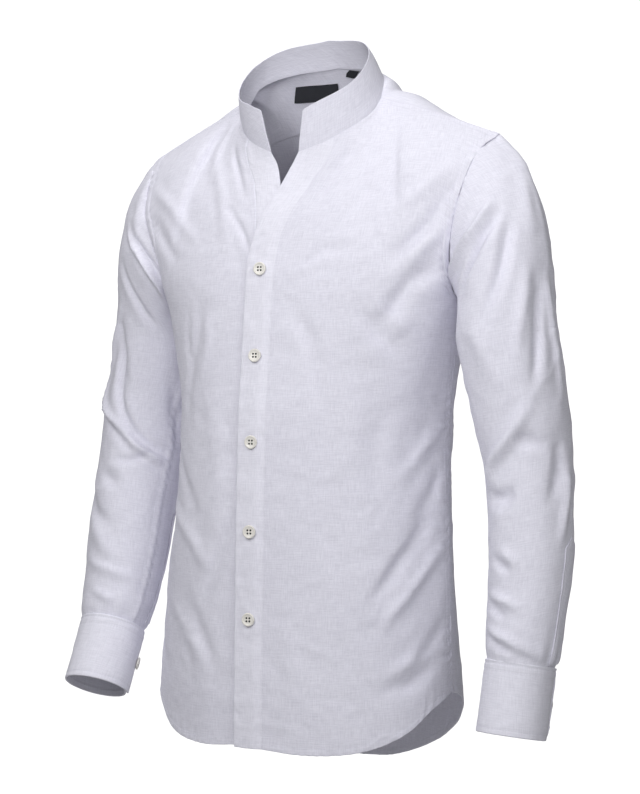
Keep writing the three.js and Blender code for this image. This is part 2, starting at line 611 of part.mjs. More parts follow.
// ---- Buttons and labels ----
function buttonGeometry() {
  const { radius, thick, holeRadius, holeSpread } = BUTTON;
  const disc = new THREE.Shape().absarc(0, 0, radius, 0, 2 * Math.PI);
  [[1, 1], [-1, 1], [-1, -1], [1, -1]].forEach(([x, y]) => {
    disc.holes.push(new THREE.Path().absarc(x * holeSpread, y * holeSpread, holeRadius, 0, 2 * Math.PI, true));
  });
  return new THREE.ExtrudeGeometry(disc, { depth: thick, bevelEnabled: false, curveSegments: 10 });
}

// Button whose back lies just off a point, facing along the normal there
function button(name, point, normal) {
  const mesh = piece(name, buttonGeometry(), ivory);
  mesh.position.copy(point).addScaledVector(normal, SEAM);
  mesh.quaternion.setFromUnitVectors(vec(0, 0, 1), normal);
  return mesh;
}

function placketButtons() {
  return BUTTON_LEVELS.map((z, index) => {
    const frontPoint = (level) => chestFront(0, level);
    const slope = frontPoint(z + 5).sub(frontPoint(z - 5)).normalize();
    const normal = vec(0, -slope.z, slope.y).normalize();
    return button(`button_${index + 1}`, frontPoint(z).addScaledVector(normal, PROUD + 0.1), normal);
  });
}

function cuffButton(side) {
  const share = 1 - CUFF.lap / 2 / (2 * Math.PI * CUFF.half + CUFF.lap);
  const centre = cuffPoint(side, share, CUFF.height * 0.5);
  const frame = armFrame(side, ARM[side].at(-1).z);
  const axisPoint = frame.centre.clone().addScaledVector(frame.down, CUFF.height * 0.5);
  const normal = centre.clone().sub(axisPoint).normalize();
  return button(`cuff_button_${side}`, centre, normal);
}

// Small blank tape lying inside the yoke, made from the yoke's own points moved in
function tape(name, { side, lift: off, top, bottom }) {
  const flip = side === 'right';
  const rows = range(4).map((t) => range(6).map((k) => (
    yokeAcross(side, lerp(lerp(top.from, top.to, k), lerp(bottom.from, bottom.to, k), t), lerp(top.depth, bottom.depth, t)))));
  const outer = lift(rows, -CLOTH - off, { flip });
  return piece(name, wall(outer, TAPE, { flip }), darkTape);
}

// ---- The shirt ----
function buildShirt() {
  const shirt = new THREE.Group();
  const left = front('left');
  const right = front('right');
  const yoke = trim(yokeGrid(), ['top', 'bottom', 'start', 'end']);
  const back = trim(trim(foldBody(backGrid()), ['top']), ['start', 'end'], SEAM);
  const shoulder = (side) => TOP_SHARES.map((share) => (
    share < NECK_SHARE ? undefined : shoulderNormal(side, (share - NECK_SHARE) / (1 - NECK_SHARE))));
  const seam = { left: shoulder('left'), right: shoulder('right') };
  const bothShoulders = [...seam.right.slice(1).reverse(), ...seam.left];
  shirt.add(
    piece('front_left', wall(left.panel, CLOTH, { flip: true, seam: seam.left, start: left.beside }), cloth),
    piece('front_right', wall(right.panel, CLOTH, { seam: seam.right, start: right.beside }), cloth),
    left.band,
    right.band,
    piece('yoke', wall(yoke, CLOTH, { seam: bothShoulders, below: back[1] }), cloth),
    piece('back', wall(back, CLOTH, { above: yoke[STEPS.yoke - 1] }), cloth),
    piece('collar', wall(collarGrid(), BAND), cloth),
    ...placketButtons(),
    tape('neck_label', NECK_LABEL),
    tape('size_tab', SIZE_TAB),
  );
  ['left', 'right'].forEach((side) => {
    const flip = side === 'right';
    const sleeve = trim(sleeveGrid(side), ['top'], SEAM);
    shirt.add(
      piece(`sleeve_${side}`, wall(sleeve, CLOTH, { wrap: true, flip }), cloth),
      piece(`cuff_${side}`, wall(cuffGrid(side), BAND, { flip }), cloth),
      piece(`gauntlet_${side}`, wall(gauntletGrid(side), CLOTH, { flip: !flip }), cloth),
      cuffButton(side),
    );
  });
  return shirt;
}

export default buildShirt();
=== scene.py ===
"""Looks of a long-sleeved cotton shirt with an open stand collar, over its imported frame.

Sizes are in millimetres until a mesh is made. +Z is up, the front faces -Y and the
wearer's left is +X. Each panel is a grid of points on the shirt's form that is pressed
along its own outward direction by creases, rumples, hems and seams.
"""
import logging
import math
from dataclasses import dataclass, field, replace
from enum import Enum
from typing import Callable, Optional, Sequence

import bpy
import numpy as np
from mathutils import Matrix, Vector


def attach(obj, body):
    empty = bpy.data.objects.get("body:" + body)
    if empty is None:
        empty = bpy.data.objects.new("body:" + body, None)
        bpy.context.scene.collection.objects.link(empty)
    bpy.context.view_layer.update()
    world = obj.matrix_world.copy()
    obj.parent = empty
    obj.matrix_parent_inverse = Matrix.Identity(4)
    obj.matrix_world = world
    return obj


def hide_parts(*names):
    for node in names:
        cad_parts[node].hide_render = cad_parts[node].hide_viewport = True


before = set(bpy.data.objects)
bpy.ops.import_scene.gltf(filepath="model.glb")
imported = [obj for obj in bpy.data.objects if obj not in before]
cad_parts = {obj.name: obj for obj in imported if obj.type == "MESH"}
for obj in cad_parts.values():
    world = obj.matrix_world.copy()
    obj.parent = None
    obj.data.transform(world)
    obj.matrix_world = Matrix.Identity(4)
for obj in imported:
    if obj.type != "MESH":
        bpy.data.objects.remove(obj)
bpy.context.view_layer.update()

LOG = logging.getLogger("shirt")
MM = 0.001
Array = np.ndarray
Colour = tuple[float, float, float]
Material, Node, Object, Tree = bpy.types.Material, bpy.types.Node, bpy.types.Object, bpy.types.NodeTree
CHEST_Z = -228.0  # level of the underarms
NECK_SHARE = 0.42  # share of a panel's upper edge that lies along the neck
YOKE_DEPTH = 0.3  # share of the back armhole that the yoke takes
SHOULDER_TURN = 92.0  # turn of the collar seam where the shoulder seam starts
BUTTON_COLUMN = 18.0 / 34.0 - 1  # where the buttons stand across the placket
BUTTON_LEVELS = (-189.0, -282.0, -374.0, -469.0, -562.0)
TRACE_POINTS = 40
LIFT = 0.12  # how far a stitch's middle stands over the cloth
HEM_ROW = 6.0  # distance of a hem's stitches from its edge
FELL_ROW = 9.0  # distance of the armhole's stitches from its seam
SEAM_ROW = 2.0  # distance of a seam's near stitches from it
SEAM_FAR_ROW = 6.5  # distance of the side seam's far stitches
OVER_UNDERARM = CHEST_Z - 4.0  # level that the armhole's seam reaches down to
UNDER_UNDERARM = CHEST_Z + 2.0  # level that the side seam reaches up to
KNOTS = 4096  # how many random values the noise draws from
KNOT_STEPS = np.array([73, 1237, 3571])  # how far apart neighbours lie among them
UP = np.array([0, 0, 1.0])


class Side(Enum):
    """Side of the wearer."""

    LEFT = 1
    RIGHT = -1

    @property
    def word(self) -> str:
        """Name used in node names."""
        return "left" if self is Side.LEFT else "right"


class Face(Enum):
    """Front or back half of the torso."""

    FRONT = "front"
    BACK = "back"


class Edge(Enum):
    """Edge of a panel's grid."""

    TOP = "top"
    BOTTOM = "bottom"
    START = "start"
    END = "end"


# ---- Small array work ----
def vec(x: Array, y: Array, z: Array) -> Array:
    """Stacks three broadcast numbers or arrays into points."""
    return np.stack(np.broadcast_arrays(x, y, z), axis=-1).astype(float)


def unit(a: Array) -> Array:
    """Scales directions to length one."""
    return a / np.maximum(np.linalg.norm(a, axis=-1, keepdims=True), 1e-9)


def lerp(a: Array, b: Array, t: Array) -> Array:
    """Straight blend from a to b."""
    return a + (b - a) * t


def smoothstep(x: Array, low: float, high: float) -> Array:
    """Soft step from 0 at low to 1 at high."""
    t = np.clip((x - low) / (high - low), 0, 1)
    return t * t * (3 - 2 * t)


def bump(d: Array, width: float) -> Array:
    """Bell that is 1 at 0 and fades over a width."""
    return np.exp(-(d / width) ** 2)


def corner_cut(away: Array, radius: float) -> Array:
    """How much a round corner takes off an edge, by the distance from the corner."""
    return radius - np.sqrt(np.maximum(radius ** 2 - np.maximum(radius - away, 0) ** 2, 0))


def sweep(a: Array, out: Array, b: Array, into: Array, t: Array) -> Array:
    """Smooth curve that leaves a along one direction and reaches b along another.

    Args:
        a: Start points.
        out: Directions at the start.
        b: End points.
        into: Directions at the end.
        t: Shares of the way, with a trailing axis of one.

    Returns:
        Points of the curve.
    """
    length = np.linalg.norm(b - a, axis=-1, keepdims=True)
    return (a * (1 + 2 * t) * (1 - t) ** 2 + b * t * t * (3 - 2 * t)
            + out * length * t * (1 - t) ** 2 - into * length * t * t * (1 - t))


def meet(sheet: Array, line: Array, share: Array) -> Array:
    """Pulls a sheet's last column onto a line, and its other columns with it, less and less."""
    return sheet + (line - sheet[:, -1])[:, None] * (share ** 3)[None, :, None]


def noise(points: Array, seed: int) -> Array:
    """Smooth noise from -1 to 1, one unit from knot to knot.

    Args:
        points: Positions, with a last axis of three.
        seed: Which noise.

    Returns:
        One value for each position.
    """
    knots = np.random.default_rng(seed).random(KNOTS) * 2 - 1
    cell = np.floor(points).astype(int)
    t = points - cell
    t = t * t * t * (t * (t * 6 - 15) + 10)
    total = np.zeros(points.shape[:-1])
    for corner in range(8):
        step = np.array([corner & 1, corner >> 1 & 1, corner >> 2 & 1])
        spot = (cell + step) @ KNOT_STEPS
        share = np.where(step == 1, t, 1 - t).prod(axis=-1)
        total += share * knots[(spot ^ (spot >> 5)) % KNOTS]
    return total


def stations(length: float, coarse: float, fine: float, start: float = 0.0, end: float = 0.0) -> Array:
    """Shares of a length, set closer together near its ends.

    Args:
        length: The length to divide.
        coarse: Spacing in the middle.
        fine: Spacing at the ends.
        start: How much of the start is fine.
        end: How much of the end is fine.

    Returns:
        Rising shares from 0 to 1.
    """
    head = np.arange(0, start, fine)
    tail = length - np.arange(0, end, fine)[::-1] if end else np.array([length])
    low = head[-1] if len(head) else 0.0
    high = tail[0]
    middle = np.linspace(low, high, max(2, round((high - low) / coarse)) + 1)
    if len(head):
        middle = middle[1:]
    return np.concatenate([head, middle[:-1], tail]) / length


@dataclass(frozen=True)
class Table:
    """Short table of named columns, read smoothly between its rows by its first column.

    Attributes:
        columns: Names of the columns.
        rows: The rows, in rising or falling order of the first column.
    """

    columns: tuple[str, ...]
    rows: tuple[tuple[float, ...], ...]

    def read(self, at: Array, column: str) -> Array:
        """Reads one column.

        Args:
            at: Values of the first column.
            column: Name of the column to read.

        Returns:
            Its smooth values there.
        """
        keys = np.array([row[0] for row in self.rows], float)
        values = np.array([row[self.columns.index(column)] for row in self.rows], float)
        rising = np.sign(keys[1] - keys[0])
        last = len(keys) - 1
        before, after = np.maximum(np.arange(last + 1) - 1, 0), np.minimum(np.arange(last + 1) + 1, last)
        slope = (values[after] - values[before]) / (keys[after] - keys[before])
        at = np.asarray(at, float)
        i = np.searchsorted(keys[1:last] * rising, at * rising, side="left")
        step = keys[i + 1] - keys[i]
        t = np.clip((at - keys[i]) / step, 0, 1)
        return (values[i] + (values[i + 1] - values[i]) * t * t * (3 - 2 * t)
                + step * (slope[i] * t * (1 - t) ** 2 - slope[i + 1] * t * t * (1 - t)))

    def point(self, at: Array) -> Array:
        """Reads the x, y and z columns as points."""
        return vec(self.read(at, "x"), self.read(at, "y"), self.read(at, "z"))


# ---- The form that every panel is cut from ----
@dataclass(frozen=True)
class Form:
    """Filled-out form of the shirt: neck, torso, shoulders, armholes and arms.

    Attributes:
        neck: Middle in X and Y, half width, half depth and slope of the collar seam's oval.
        neck_height: Level of that seam by its turn from the front centre.
        collar: The same five numbers for the collar's upper edge.
        collar_height: Level of that edge by its turn.
        body: Half width, middle, front and back depth and squareness of the torso by level.
        centre_line: Depth and curve of the chest beside the front centre line by level.
        bands: Where each front band's edge and seam lie in X by level.
        armholes: Line of each armhole's front and back half, from the shoulder tip down.
        yoke_edge: Line of the yoke's lower edge, from the middle to the left armhole.
        arms: Middle and half sizes of each arm's section by level.
        cuff_axis: Direction in which each cuff points.
    """

    neck: tuple[float, float, float, float, float] = (0, 5, 86, 57, -3)
    neck_height: Table = Table(("turn", "z"), (
        (0, -61), (12, -59), (50, -36), (75, -16), (92, 2), (108, 23), (140, 40), (180, 48)))
    collar: tuple[float, float, float, float, float] = (-6, -4, 79, 54, 0)
    collar_height: Table = Table(("turn", "z"), (
        (0, -22), (18, -18), (35, -7), (64, 11), (88, 32), (108, 50), (140, 70), (180, 78)))
    body: Table = Table(("z", "half", "x", "y", "front", "back", "power"), (
        (-228, 180, 8, 4, 105, 117, 2.4), (-282, 168, 5, 11, 117, 100, 2.3),
        (-340, 160, 2, 16, 128, 86, 2.2), (-385, 159, 0, 16, 130, 83, 2.2),
        (-440, 161, 0, 13, 129, 89, 2.2), (-522, 168, -3, 9, 127, 103, 2.2),
        (-641, 178, -5, 11, 131, 113, 2.2), (-750, 181, -5, 11, 132, 115, 2.2)))
    centre_line: Table = Table(("z", "y", "curve"), (
        (-30, -44, 0.0042), (-61, -52, 0.0039), (-101, -68, 0.003),
        (-140, -84, 0.0024), (-189, -96, 0.0019), (-228, -101, 0.0014)))
    bands: dict = field(default_factory=lambda: {
        Side.LEFT: Table(("z", "edge", "seam"), (
            (-40, 26, 57), (-61, 18, 50), (-101, 3, 37), (-131, -10, 24), (-169, -17.6, 16.4),
            (-200, -18, 16), (-800, -18, 16))),
        Side.RIGHT: Table(("z", "edge", "seam"), (
            (-36, -28, -58), (-56, -19.3, -50), (-72, -8.6, -43), (-101, 3.3, -31), (-131, 12, -22),
            (-169, 17, -17), (-200, 17.5, -16.5), (-800, 17.5, -16.5)))})
    armholes: dict = field(default_factory=lambda: {
        (Side.LEFT, Face.FRONT): Table(("share", "x", "y", "z"), (
            (0, 232, 6, -49), (0.15, 219, -18, -69), (0.39, 208, -40, -115), (0.63, 198, -43, -167),
            (0.85, 190, -24, -209), (1, 188, 4, -228))),
        (Side.LEFT, Face.BACK): Table(("share", "x", "y", "z"), (
            (0, 232, 6, -49), (0.15, 224, 30, -65), (0.39, 214, 47, -115), (0.63, 206, 50, -165),
            (0.85, 193, 32, -209), (1, 188, 4, -228))),
        (Side.RIGHT, Face.FRONT): Table(("share", "x", "y", "z"), (
            (0, -211, 6, -47), (0.15, -204, -18, -67), (0.39, -197, -40, -116), (0.63, -171, -53, -167),
            (0.85, -166, -32, -209), (1, -172, 4, -228))),
        (Side.RIGHT, Face.BACK): Table(("share", "x", "y", "z"), (
            (0, -211, 6, -47), (0.15, -206, 30, -65), (0.39, -197, 47, -115), (0.63, -190, 50, -165),
            (0.85, -177, 32, -209), (1, -172, 4, -228)))})
    yoke_edge: Table = Table(("share", "x", "y", "z"), (
        (0, 0, 90, -19), (0.2, 45, 88, -19), (0.42, 92, 79, -25), (0.7, 152, 66, -52),
        (0.88, 195, 52, -82), (1, 217, 42, -98)))
    arms: dict = field(default_factory=lambda: {
        Side.LEFT: Table(("z", "x", "y", "across", "along"), (
            (-262, 253, -17, 53, 55), (-308, 261, -14, 51.5, 54), (-350, 268, -12, 49.5, 52),
            (-391, 274, -10, 46, 48), (-433, 278, -13, 44.5, 46), (-495, 281, -20, 42.5, 44),
            (-536, 281, -27, 40.5, 42), (-575, 281, -36, 38.5, 40), (-599, 280, -41, 37, 38))),
        Side.RIGHT: Table(("z", "x", "y", "across", "along"), (
            (-262, -222, 22, 50, 53), (-308, -228, 20, 51, 53), (-350, -233, 12, 51, 52),
            (-400, -233, 0, 50, 50), (-447, -233, -14, 48, 48), (-513, -232, -31, 46, 46),
            (-555, -231, -46, 42, 42), (-588, -230, -61, 37.5, 38)))})
    cuff_axis: dict = field(default_factory=lambda: {
        Side.LEFT: (-0.055, -0.18, -1.0), Side.RIGHT: (0.03, -0.5, -1.0)})

    def _oval(self, ring: tuple, heights: Table, turn: Array) -> Array:
        """Point of a flat oval whose height is read by the turn from the front centre."""
        x, y, half_width, half_depth, lean = ring
        angle = np.radians(turn)
        away = np.abs((np.asarray(turn) + 540) % 360 - 180)
        return vec(x + half_width * np.sin(angle), y - half_depth * np.cos(angle),
                   heights.read(away, "z") + lean * np.sin(angle))

    def neck_seam(self, turn: Array) -> Array:
        """Points of the seam between the collar and the body."""
        return self._oval(self.neck, self.neck_height, turn)

    def collar_top(self, turn: Array) -> Array:
        """Points of the collar's upper edge."""
        return self._oval(self.collar, self.collar_height, turn)

    def torso(self, z: Array, swing: Array, face: Face) -> Array:
        """Points of the body below the underarms.

        Args:
            z: Levels.
            swing: Degrees from the right side seam (-90) to the left one (90).
            face: Front or back.

        Returns:
            The points.
        """
        across = np.sin(np.radians(swing))
        power = self.body.read(z, "power")
        swell = np.maximum(1 - np.abs(across) ** power, 0) ** (1 / power)
        depth = -self.body.read(z, "front") if face is Face.FRONT else self.body.read(z, "back")
        return vec(self.body.read(z, "x") + self.body.read(z, "half") * across,
                   self.body.read(z, "y") + depth * swell, z)

    def torso_fall(self, swing: Array, face: Face) -> Array:
        """Direction in which the body's cloth falls at the underarm level."""
        return (self.torso(CHEST_Z - 4, swing, face) - self.torso(CHEST_Z, swing, face)) / 4

    def swing_at(self, x: Array, z: Array) -> Array:
        """Swing of a point of the body's front that lies at x."""
        return np.degrees(np.arcsin(np.clip((x - self.body.read(z, "x")) / self.body.read(z, "half"), -1, 1)))

    def chest_front(self, x: Array, z: Array) -> Array:
        """Points of the cloth beside the front centre line."""
        x, z = np.broadcast_arrays(np.asarray(x, float), np.asarray(z, float))
        low = self.torso(z, self.swing_at(x, z), Face.FRONT)
        high = vec(x, self.centre_line.read(z, "y") + self.centre_line.read(z, "curve") * x * x, z)
        return np.where((z < CHEST_Z)[..., None], low, high)

    def armhole(self, side: Side, face: Face, share: Array) -> Array:
        """Points of the armhole seam from the shoulder tip (0) to the underarm (1)."""
        return self.armholes[side, face].point(share)

    def shoulder_seam(self, side: Side, share: Array) -> Array:
        """Points of the shoulder seam from the collar (0) to the shoulder tip (1)."""
        share = np.asarray(share, float)[..., None]
        start = self.neck_seam(side.value * SHOULDER_TURN)
        end = self.armhole(side, Face.FRONT, 0.0)
        return lerp(start, end, share) + np.array([0, 0, 3.0]) * np.sin(np.pi * share)

    def shoulder_climb(self, share: Array) -> Array:
        """Direction in which the cloth climbs backwards over the shoulder seam."""
        angle = np.radians(lerp(48.0, 6.0, np.maximum(share, 0)))
        return vec(0, np.cos(angle), np.sin(angle))

    def leave_shoulder(self, side: Side, share: Array, way: float) -> Array:
        """Direction in which a panel leaves its upper edge beside the neck end of the shoulder seam.

        Args:
            side: Side of the wearer.
            share: Shares of the way along the shoulder seam.
            way: 1 for the yoke and -1 for a front.

        Returns:
            The directions.
        """
        share = np.asarray(share, float)
        along = unit(self.shoulder_seam(side, 0.05) - self.shoulder_seam(side, 0.0))
        corner = unit(along + way * self.shoulder_climb(0.0))
        return lerp(corner, way * self.shoulder_climb(share), smoothstep(share, 0, 0.4)[..., None])

    def upper_edge(self, side: Side, share: Array, start: float, first: tuple[float, float, float],
                   way: float) -> tuple[Array, Array]:
        """A panel's upper edge, along the neck and then the shoulder.

        Args:
            side: Side of the wearer.
            share: Shares of the way from the panel's first column to the armhole.
            start: Turn of the collar seam where the panel starts.
            first: Direction in which the panel leaves its upper edge there.
            way: 1 for the yoke and -1 for a front.

        Returns:
            Points of the edge, and the directions in which the panel leaves it.
        """
        part = np.minimum(share / NECK_SHARE, 1)
        k = np.maximum((share - NECK_SHARE) / (1 - NECK_SHARE), 0)
        on_neck = (share <= NECK_SHARE)[..., None]
        turn = side.value * lerp(start, SHOULDER_TURN, part)
        leave = lerp(np.array(first), self.leave_shoulder(side, 0.0, way), part[..., None])
        return (np.where(on_neck, self.neck_seam(turn), self.shoulder_seam(side, k)),
                np.where(on_neck, leave, self.leave_shoulder(side, k, way)))

    def yoke_edge_at(self, side: Side, share: Array) -> Array:
        """Points of the seam between the yoke and the back."""
        share = np.asarray(share, float)
        point = self.yoke_edge.point(share)
        end = self.armhole(side, Face.BACK, YOKE_DEPTH)
        last = np.array(self.yoke_edge.rows[-1][1:], float)
        point[..., 0] *= end[0] / last[0]
        shift = np.array([0, end[1] - last[1], end[2] - last[2]])
        return point + shift * (share ** 3)[..., None]

    def arm_frame(self, side: Side, z: Array) -> tuple[Array, Array, Array, Array]:
        """Centre, downward, outward and forward directions of an arm's section at a level."""
        table = self.arms[side]
        z = np.asarray(z, float)
        at = lambda level: vec(table.read(level, "x"), table.read(level, "y"), level)
        down = unit(at(z - 3) - at(z + 3))
        last = table.rows[-1][0]
        near = (1 - smoothstep(z, last + 3, last + 34))[..., None]
        down = unit(lerp(down, unit(np.array(self.cuff_axis[side])), near))
        out = np.array([float(side.value), 0, 0])
        out = unit(out - down * (down @ out)[..., None])
        ahead = np.array([0, -1.0, 0])
        ahead = ahead - down * (down @ ahead)[..., None]
        ahead = unit(ahead - out * (ahead * out).sum(-1, keepdims=True))
        return at(z), down, out, ahead

    def arm_point(self, side: Side, z: Array, turn: Array) -> Array:
        """Points of a plain sleeve; turn 0 is outwards, 90 to the front, 180 to the body."""
        centre, _, out, ahead = self.arm_frame(side, z)
        table = self.arms[side]
        angle = np.radians(turn)
        across = (table.read(z, "across") * np.cos(angle))[..., None]
        along = (table.read(z, "along") * np.sin(angle))[..., None]
        return centre + out * across + ahead * along


FORM = Form()


# ---- A panel of cloth ----
def outward(grid: Array, wrap: bool, flip: bool) -> Array:
    """Outward directions of a grid of points.

    Args:
        grid: Rows by columns of points.
        wrap: Whether the last column meets the first.
        flip: Whether the grid runs the other way round.

    Returns:
        A direction for each point.
    """
    if wrap:
        across = np.roll(grid, -1, axis=1) - np.roll(grid, 1, axis=1)
    else:
        across = np.gradient(grid, axis=1)
    down = np.gradient(grid, axis=0)
    out = unit(np.cross(across, down))
    return -out if flip else out


@dataclass
class Panel:
    """One layer of cloth, as a grid of points with its own flat measure.

    Attributes:
        points: Rows by columns of points, outer face.
        across: The name of each column where a crease is placed by it.
        flip: Whether the grid runs the other way round.
        wrap: Whether the panel is a tube.
        level_row: Row along which the weft runs level.
    """

    points: Array
    across: Array
    flip: bool = False
    wrap: bool = False
    level_row: int = 0

    def __post_init__(self) -> None:
        """Measures the panel flat, before anything is pressed into it."""
        self.normal = outward(self.points, self.wrap, self.flip)
        self.u, self.v = self.run(1), self.run(0)
        self.grain = np.stack([self.u, self.v - self.v[self.level_row]], axis=-1)

    def closed(self) -> Array:
        """The points, with a tube's first column again at its end."""
        return np.concatenate([self.points, self.points[:, :1]], axis=1) if self.wrap else self.points

    def run(self, axis: int) -> Array:
        """Flat length from the first row (axis 0) or column (axis 1) to every point."""
        steps = np.linalg.norm(np.diff(self.closed(), axis=axis), axis=-1)
        return np.concatenate([np.zeros_like(steps.take([0], axis)), np.cumsum(steps, axis=axis)], axis=axis)

    def split(self, column: int) -> tuple["Panel", "Panel"]:
        """Cuts the panel in two along a column, which both halves keep."""
        halves = []
        for part in (slice(0, column + 1), slice(column, None)):
            half = Panel(self.points[:, part], self.across[part], self.flip)
            half.normal, half.grain = self.normal[:, part], self.grain[:, part]
            halves.append(half)
        return halves[0], halves[1]

    def press(self, height: Array) -> None:
        """Moves every point along its outward direction by a height."""
        self.points = self.points + self.normal * height[..., None]
        self.normal = outward(self.points, self.wrap, self.flip)

    def from_edge(self, edge: Edge) -> Array:
        """Flat distance of every point from an edge."""
        u, v = self.u, self.v
        if self.wrap:
            u, v = u[:, :-1], v[:, :-1]
        return {Edge.TOP: v, Edge.BOTTOM: v[-1:] - v, Edge.START: u, Edge.END: u[:, -1:] - u}[edge]

    def at(self, row: Array, column: Array, lift: float = 0.0) -> Array:
        """Points of the pressed panel between its grid points.

        Args:
            row: Row numbers, whole or not.
            column: Column numbers, whole or not.
            lift: Height over the cloth.

        Returns:
            The points.
        """
        rows, count = self.points.shape[:2]
        row = np.clip(np.asarray(row, float), 0, rows - 1.0001)
        column = np.asarray(column, float)
        column = column % count if self.wrap else np.clip(column, 0, count - 1.0001)
        j, i = np.floor(row).astype(int), np.floor(column).astype(int)
        a, b = (row - j)[..., None], (column - i)[..., None]
        k = (i + 1) % count

        def mix(grid: Array) -> Array:
            """Blends the four grid values round each place."""
            return lerp(lerp(grid[j, i], grid[j, k], b), lerp(grid[j + 1, i], grid[j + 1, k], b), a)

        return mix(self.points) + unit(mix(self.normal)) * lift

    def column_of(self, across: Array) -> Array:
        """Column number where a column name lies."""
        if self.wrap:
            turns = np.concatenate([self.across, [self.across[0] + 360]])
            return np.interp(np.asarray(across, float) % 360, turns, np.arange(len(turns)))
        return np.interp(across, self.across, np.arange(len(self.across)))

    def row_of(self, column: Array, z: Array) -> Array:
        """Row number where a column crosses a level."""
        levels = self.points[..., 2]
        found = []
        for c, level in zip(np.atleast_1d(column), np.atleast_1d(z)):
            i = int(c) % levels.shape[1]
            k = (i + 1) % levels.shape[1] if self.wrap else min(i + 1, levels.shape[1] - 1)
            profile = lerp(levels[:, i], levels[:, k], c - int(c))
            found.append(np.interp(-level, np.maximum.accumulate(-profile), np.arange(len(profile))))
        return np.array(found)

    def trace(self, path: Sequence[tuple[float, float]], count: int, lift: float = 0.0) -> Array:
        """Line on the cloth through places given by column name and level.

        Args:
            path: Column name and level of each place.
            count: Number of points wanted.
            lift: Height over the cloth.

        Returns:
            Points of the line.
        """
        knots = np.array(path, float)
        t = np.linspace(0, len(knots) - 1, count)
        names = np.interp(t, np.arange(len(knots)), knots[:, 0])
        levels = np.interp(t, np.arange(len(knots)), knots[:, 1])
        if len(knots) > 2:
            pad = 4
            soft = np.full(2 * pad + 1, 1 / (2 * pad + 1))
            names, levels = (np.convolve(np.pad(a, pad, mode="reflect", reflect_type="odd"), soft, "valid")
                             for a in (names, levels))
        column = self.column_of(names)
        return self.at(self.row_of(column, levels), column, lift)

    def inset(self, edge: Edge, distance: float, low: float = 0.0, high: float = 1.0, lift: float = 0.0,
              count: int = 240) -> Array:
        """Line that keeps a flat distance from an edge.

        Args:
            edge: The edge that it follows.
            distance: How far inside the edge it lies.
            low: Share of the edge where it starts.
            high: Share of the edge where it ends.
            lift: Height over the cloth.
            count: Number of points wanted.

        Returns:
            Points of the line.
        """
        away = self.from_edge(edge)
        level = edge in (Edge.TOP, Edge.BOTTOM)
        profiles = away.T if level else away
        way = -1 if edge in (Edge.BOTTOM, Edge.END) else 1
        along = np.linspace(low, high, count) * (len(profiles) - (0 if self.wrap and level else 1))
        index = np.arange(profiles.shape[1], dtype=float)[::way]
        inside = np.array([np.interp(distance, profiles[int(k) % len(profiles)][::way], index) for k in along])
        return self.at(inside, along, lift) if level else self.at(along, inside, lift)

    def insets(self, *rows: tuple) -> list[Array]:
        """Several insets, each given by its edge, distance, start, end, lift and count."""
        return [self.inset(*row) for row in rows]

    def area(self) -> float:
        """Area of the outer face in square metres."""
        grid = self.closed()
        a, b = grid[1:, 1:] - grid[:-1, :-1], grid[1:, :-1] - grid[:-1, 1:]
        return float(np.linalg.norm(np.cross(a, b), axis=-1).sum() / 2 * MM * MM)


# ---- What is pressed into a panel ----
DRAPE = 1.45  # how much deeper this soft cotton folds than its creases are listed


@dataclass(frozen=True)
class Crease:
    """A soft ridge (positive) or trough (negative) along a line on the cloth.

    Attributes:
        path: Column name and level of each place on the line.
        depth: Height of the ridge.
        width: How far it spreads to each side.
        lean: From -1 to 1; the steep side.
    """

    path: tuple[tuple[float, float], ...]
    depth: float
    width: float
    lean: float = 0.0

    def mirrored(self) -> "Crease":
        """The same crease on the other half of a panel that is named from its middle."""
        return replace(self, path=tuple((-across, level) for across, level in self.path))

    def height(self, panel: Panel) -> Array:
        """Height that the crease adds at every point of a panel."""
        line = panel.trace(self.path, TRACE_POINTS)
        way = unit(np.gradient(line, axis=0))
        points = panel.points.reshape(-1, 3)
        reach = 5 * self.width
        near = np.all((points > line.min(0) - reach) & (points < line.max(0) + reach), axis=1)
        total = np.zeros(len(points))
        if near.any():
            spots = points[near]
            gap = np.linalg.norm(spots[:, None] - line[None], axis=-1)
            k = gap.argmin(axis=1)
            d = gap[np.arange(len(k)), k]
            side = np.sign((np.cross(way[k], panel.normal.reshape(-1, 3)[near]) * (spots - line[k])).sum(-1))
            width = self.width * (1 - 0.5 * self.lean * side)
            u = k / (len(line) - 1)
            taper = np.sin(np.pi * np.clip(u, 0.02, 0.98)) ** 0.6
            total[near] = taper * (np.exp(-(d / width) ** 2) - 0.28 * np.exp(-(d / (2.3 * self.width)) ** 2))
        return DRAPE * self.depth * total.reshape(panel.points.shape[:2])


def creases(*rows: tuple) -> tuple[Crease, ...]:
    """Makes creases from rows of path, depth, width and, where it leans, lean."""
    return tuple(Crease(*row) for row in rows)


# The standing fold that the side seam makes in every panel beside it.
SIDE_RIDGE = Crease(((1.0, -240), (1.0, -380), (1.0, -500), (1.0, -610)), 6.5, 26)


@dataclass(frozen=True)
class Rumple:
    """Small uneven crumpling of soft cotton.

    Attributes:
        depth: Height of the crumples.
        size: Their size along X, Y and Z.
        seed: Which crumples.
    """

    depth: float = 0.55
    size: tuple[float, float, float] = (34.0, 34.0, 26.0)
    seed: int = 3

    def height(self, panel: Panel) -> Array:
        """Height that the crumples add at every point of a panel."""
        place = panel.points / np.array(self.size)
        bend = np.stack([noise(place * 0.7 + 9, self.seed + k) for k in range(3)], axis=-1)
        place = place + 0.8 * bend
        ridge = 1 - 2.2 * np.abs(noise(place, self.seed + 3))
        fine = 1 - 2.2 * np.abs(noise(place * 2.1 + 4, self.seed + 4))
        return self.depth * (0.7 * ridge + 0.3 * fine + 0.6 * noise(place * 0.6 + 2, self.seed + 5))


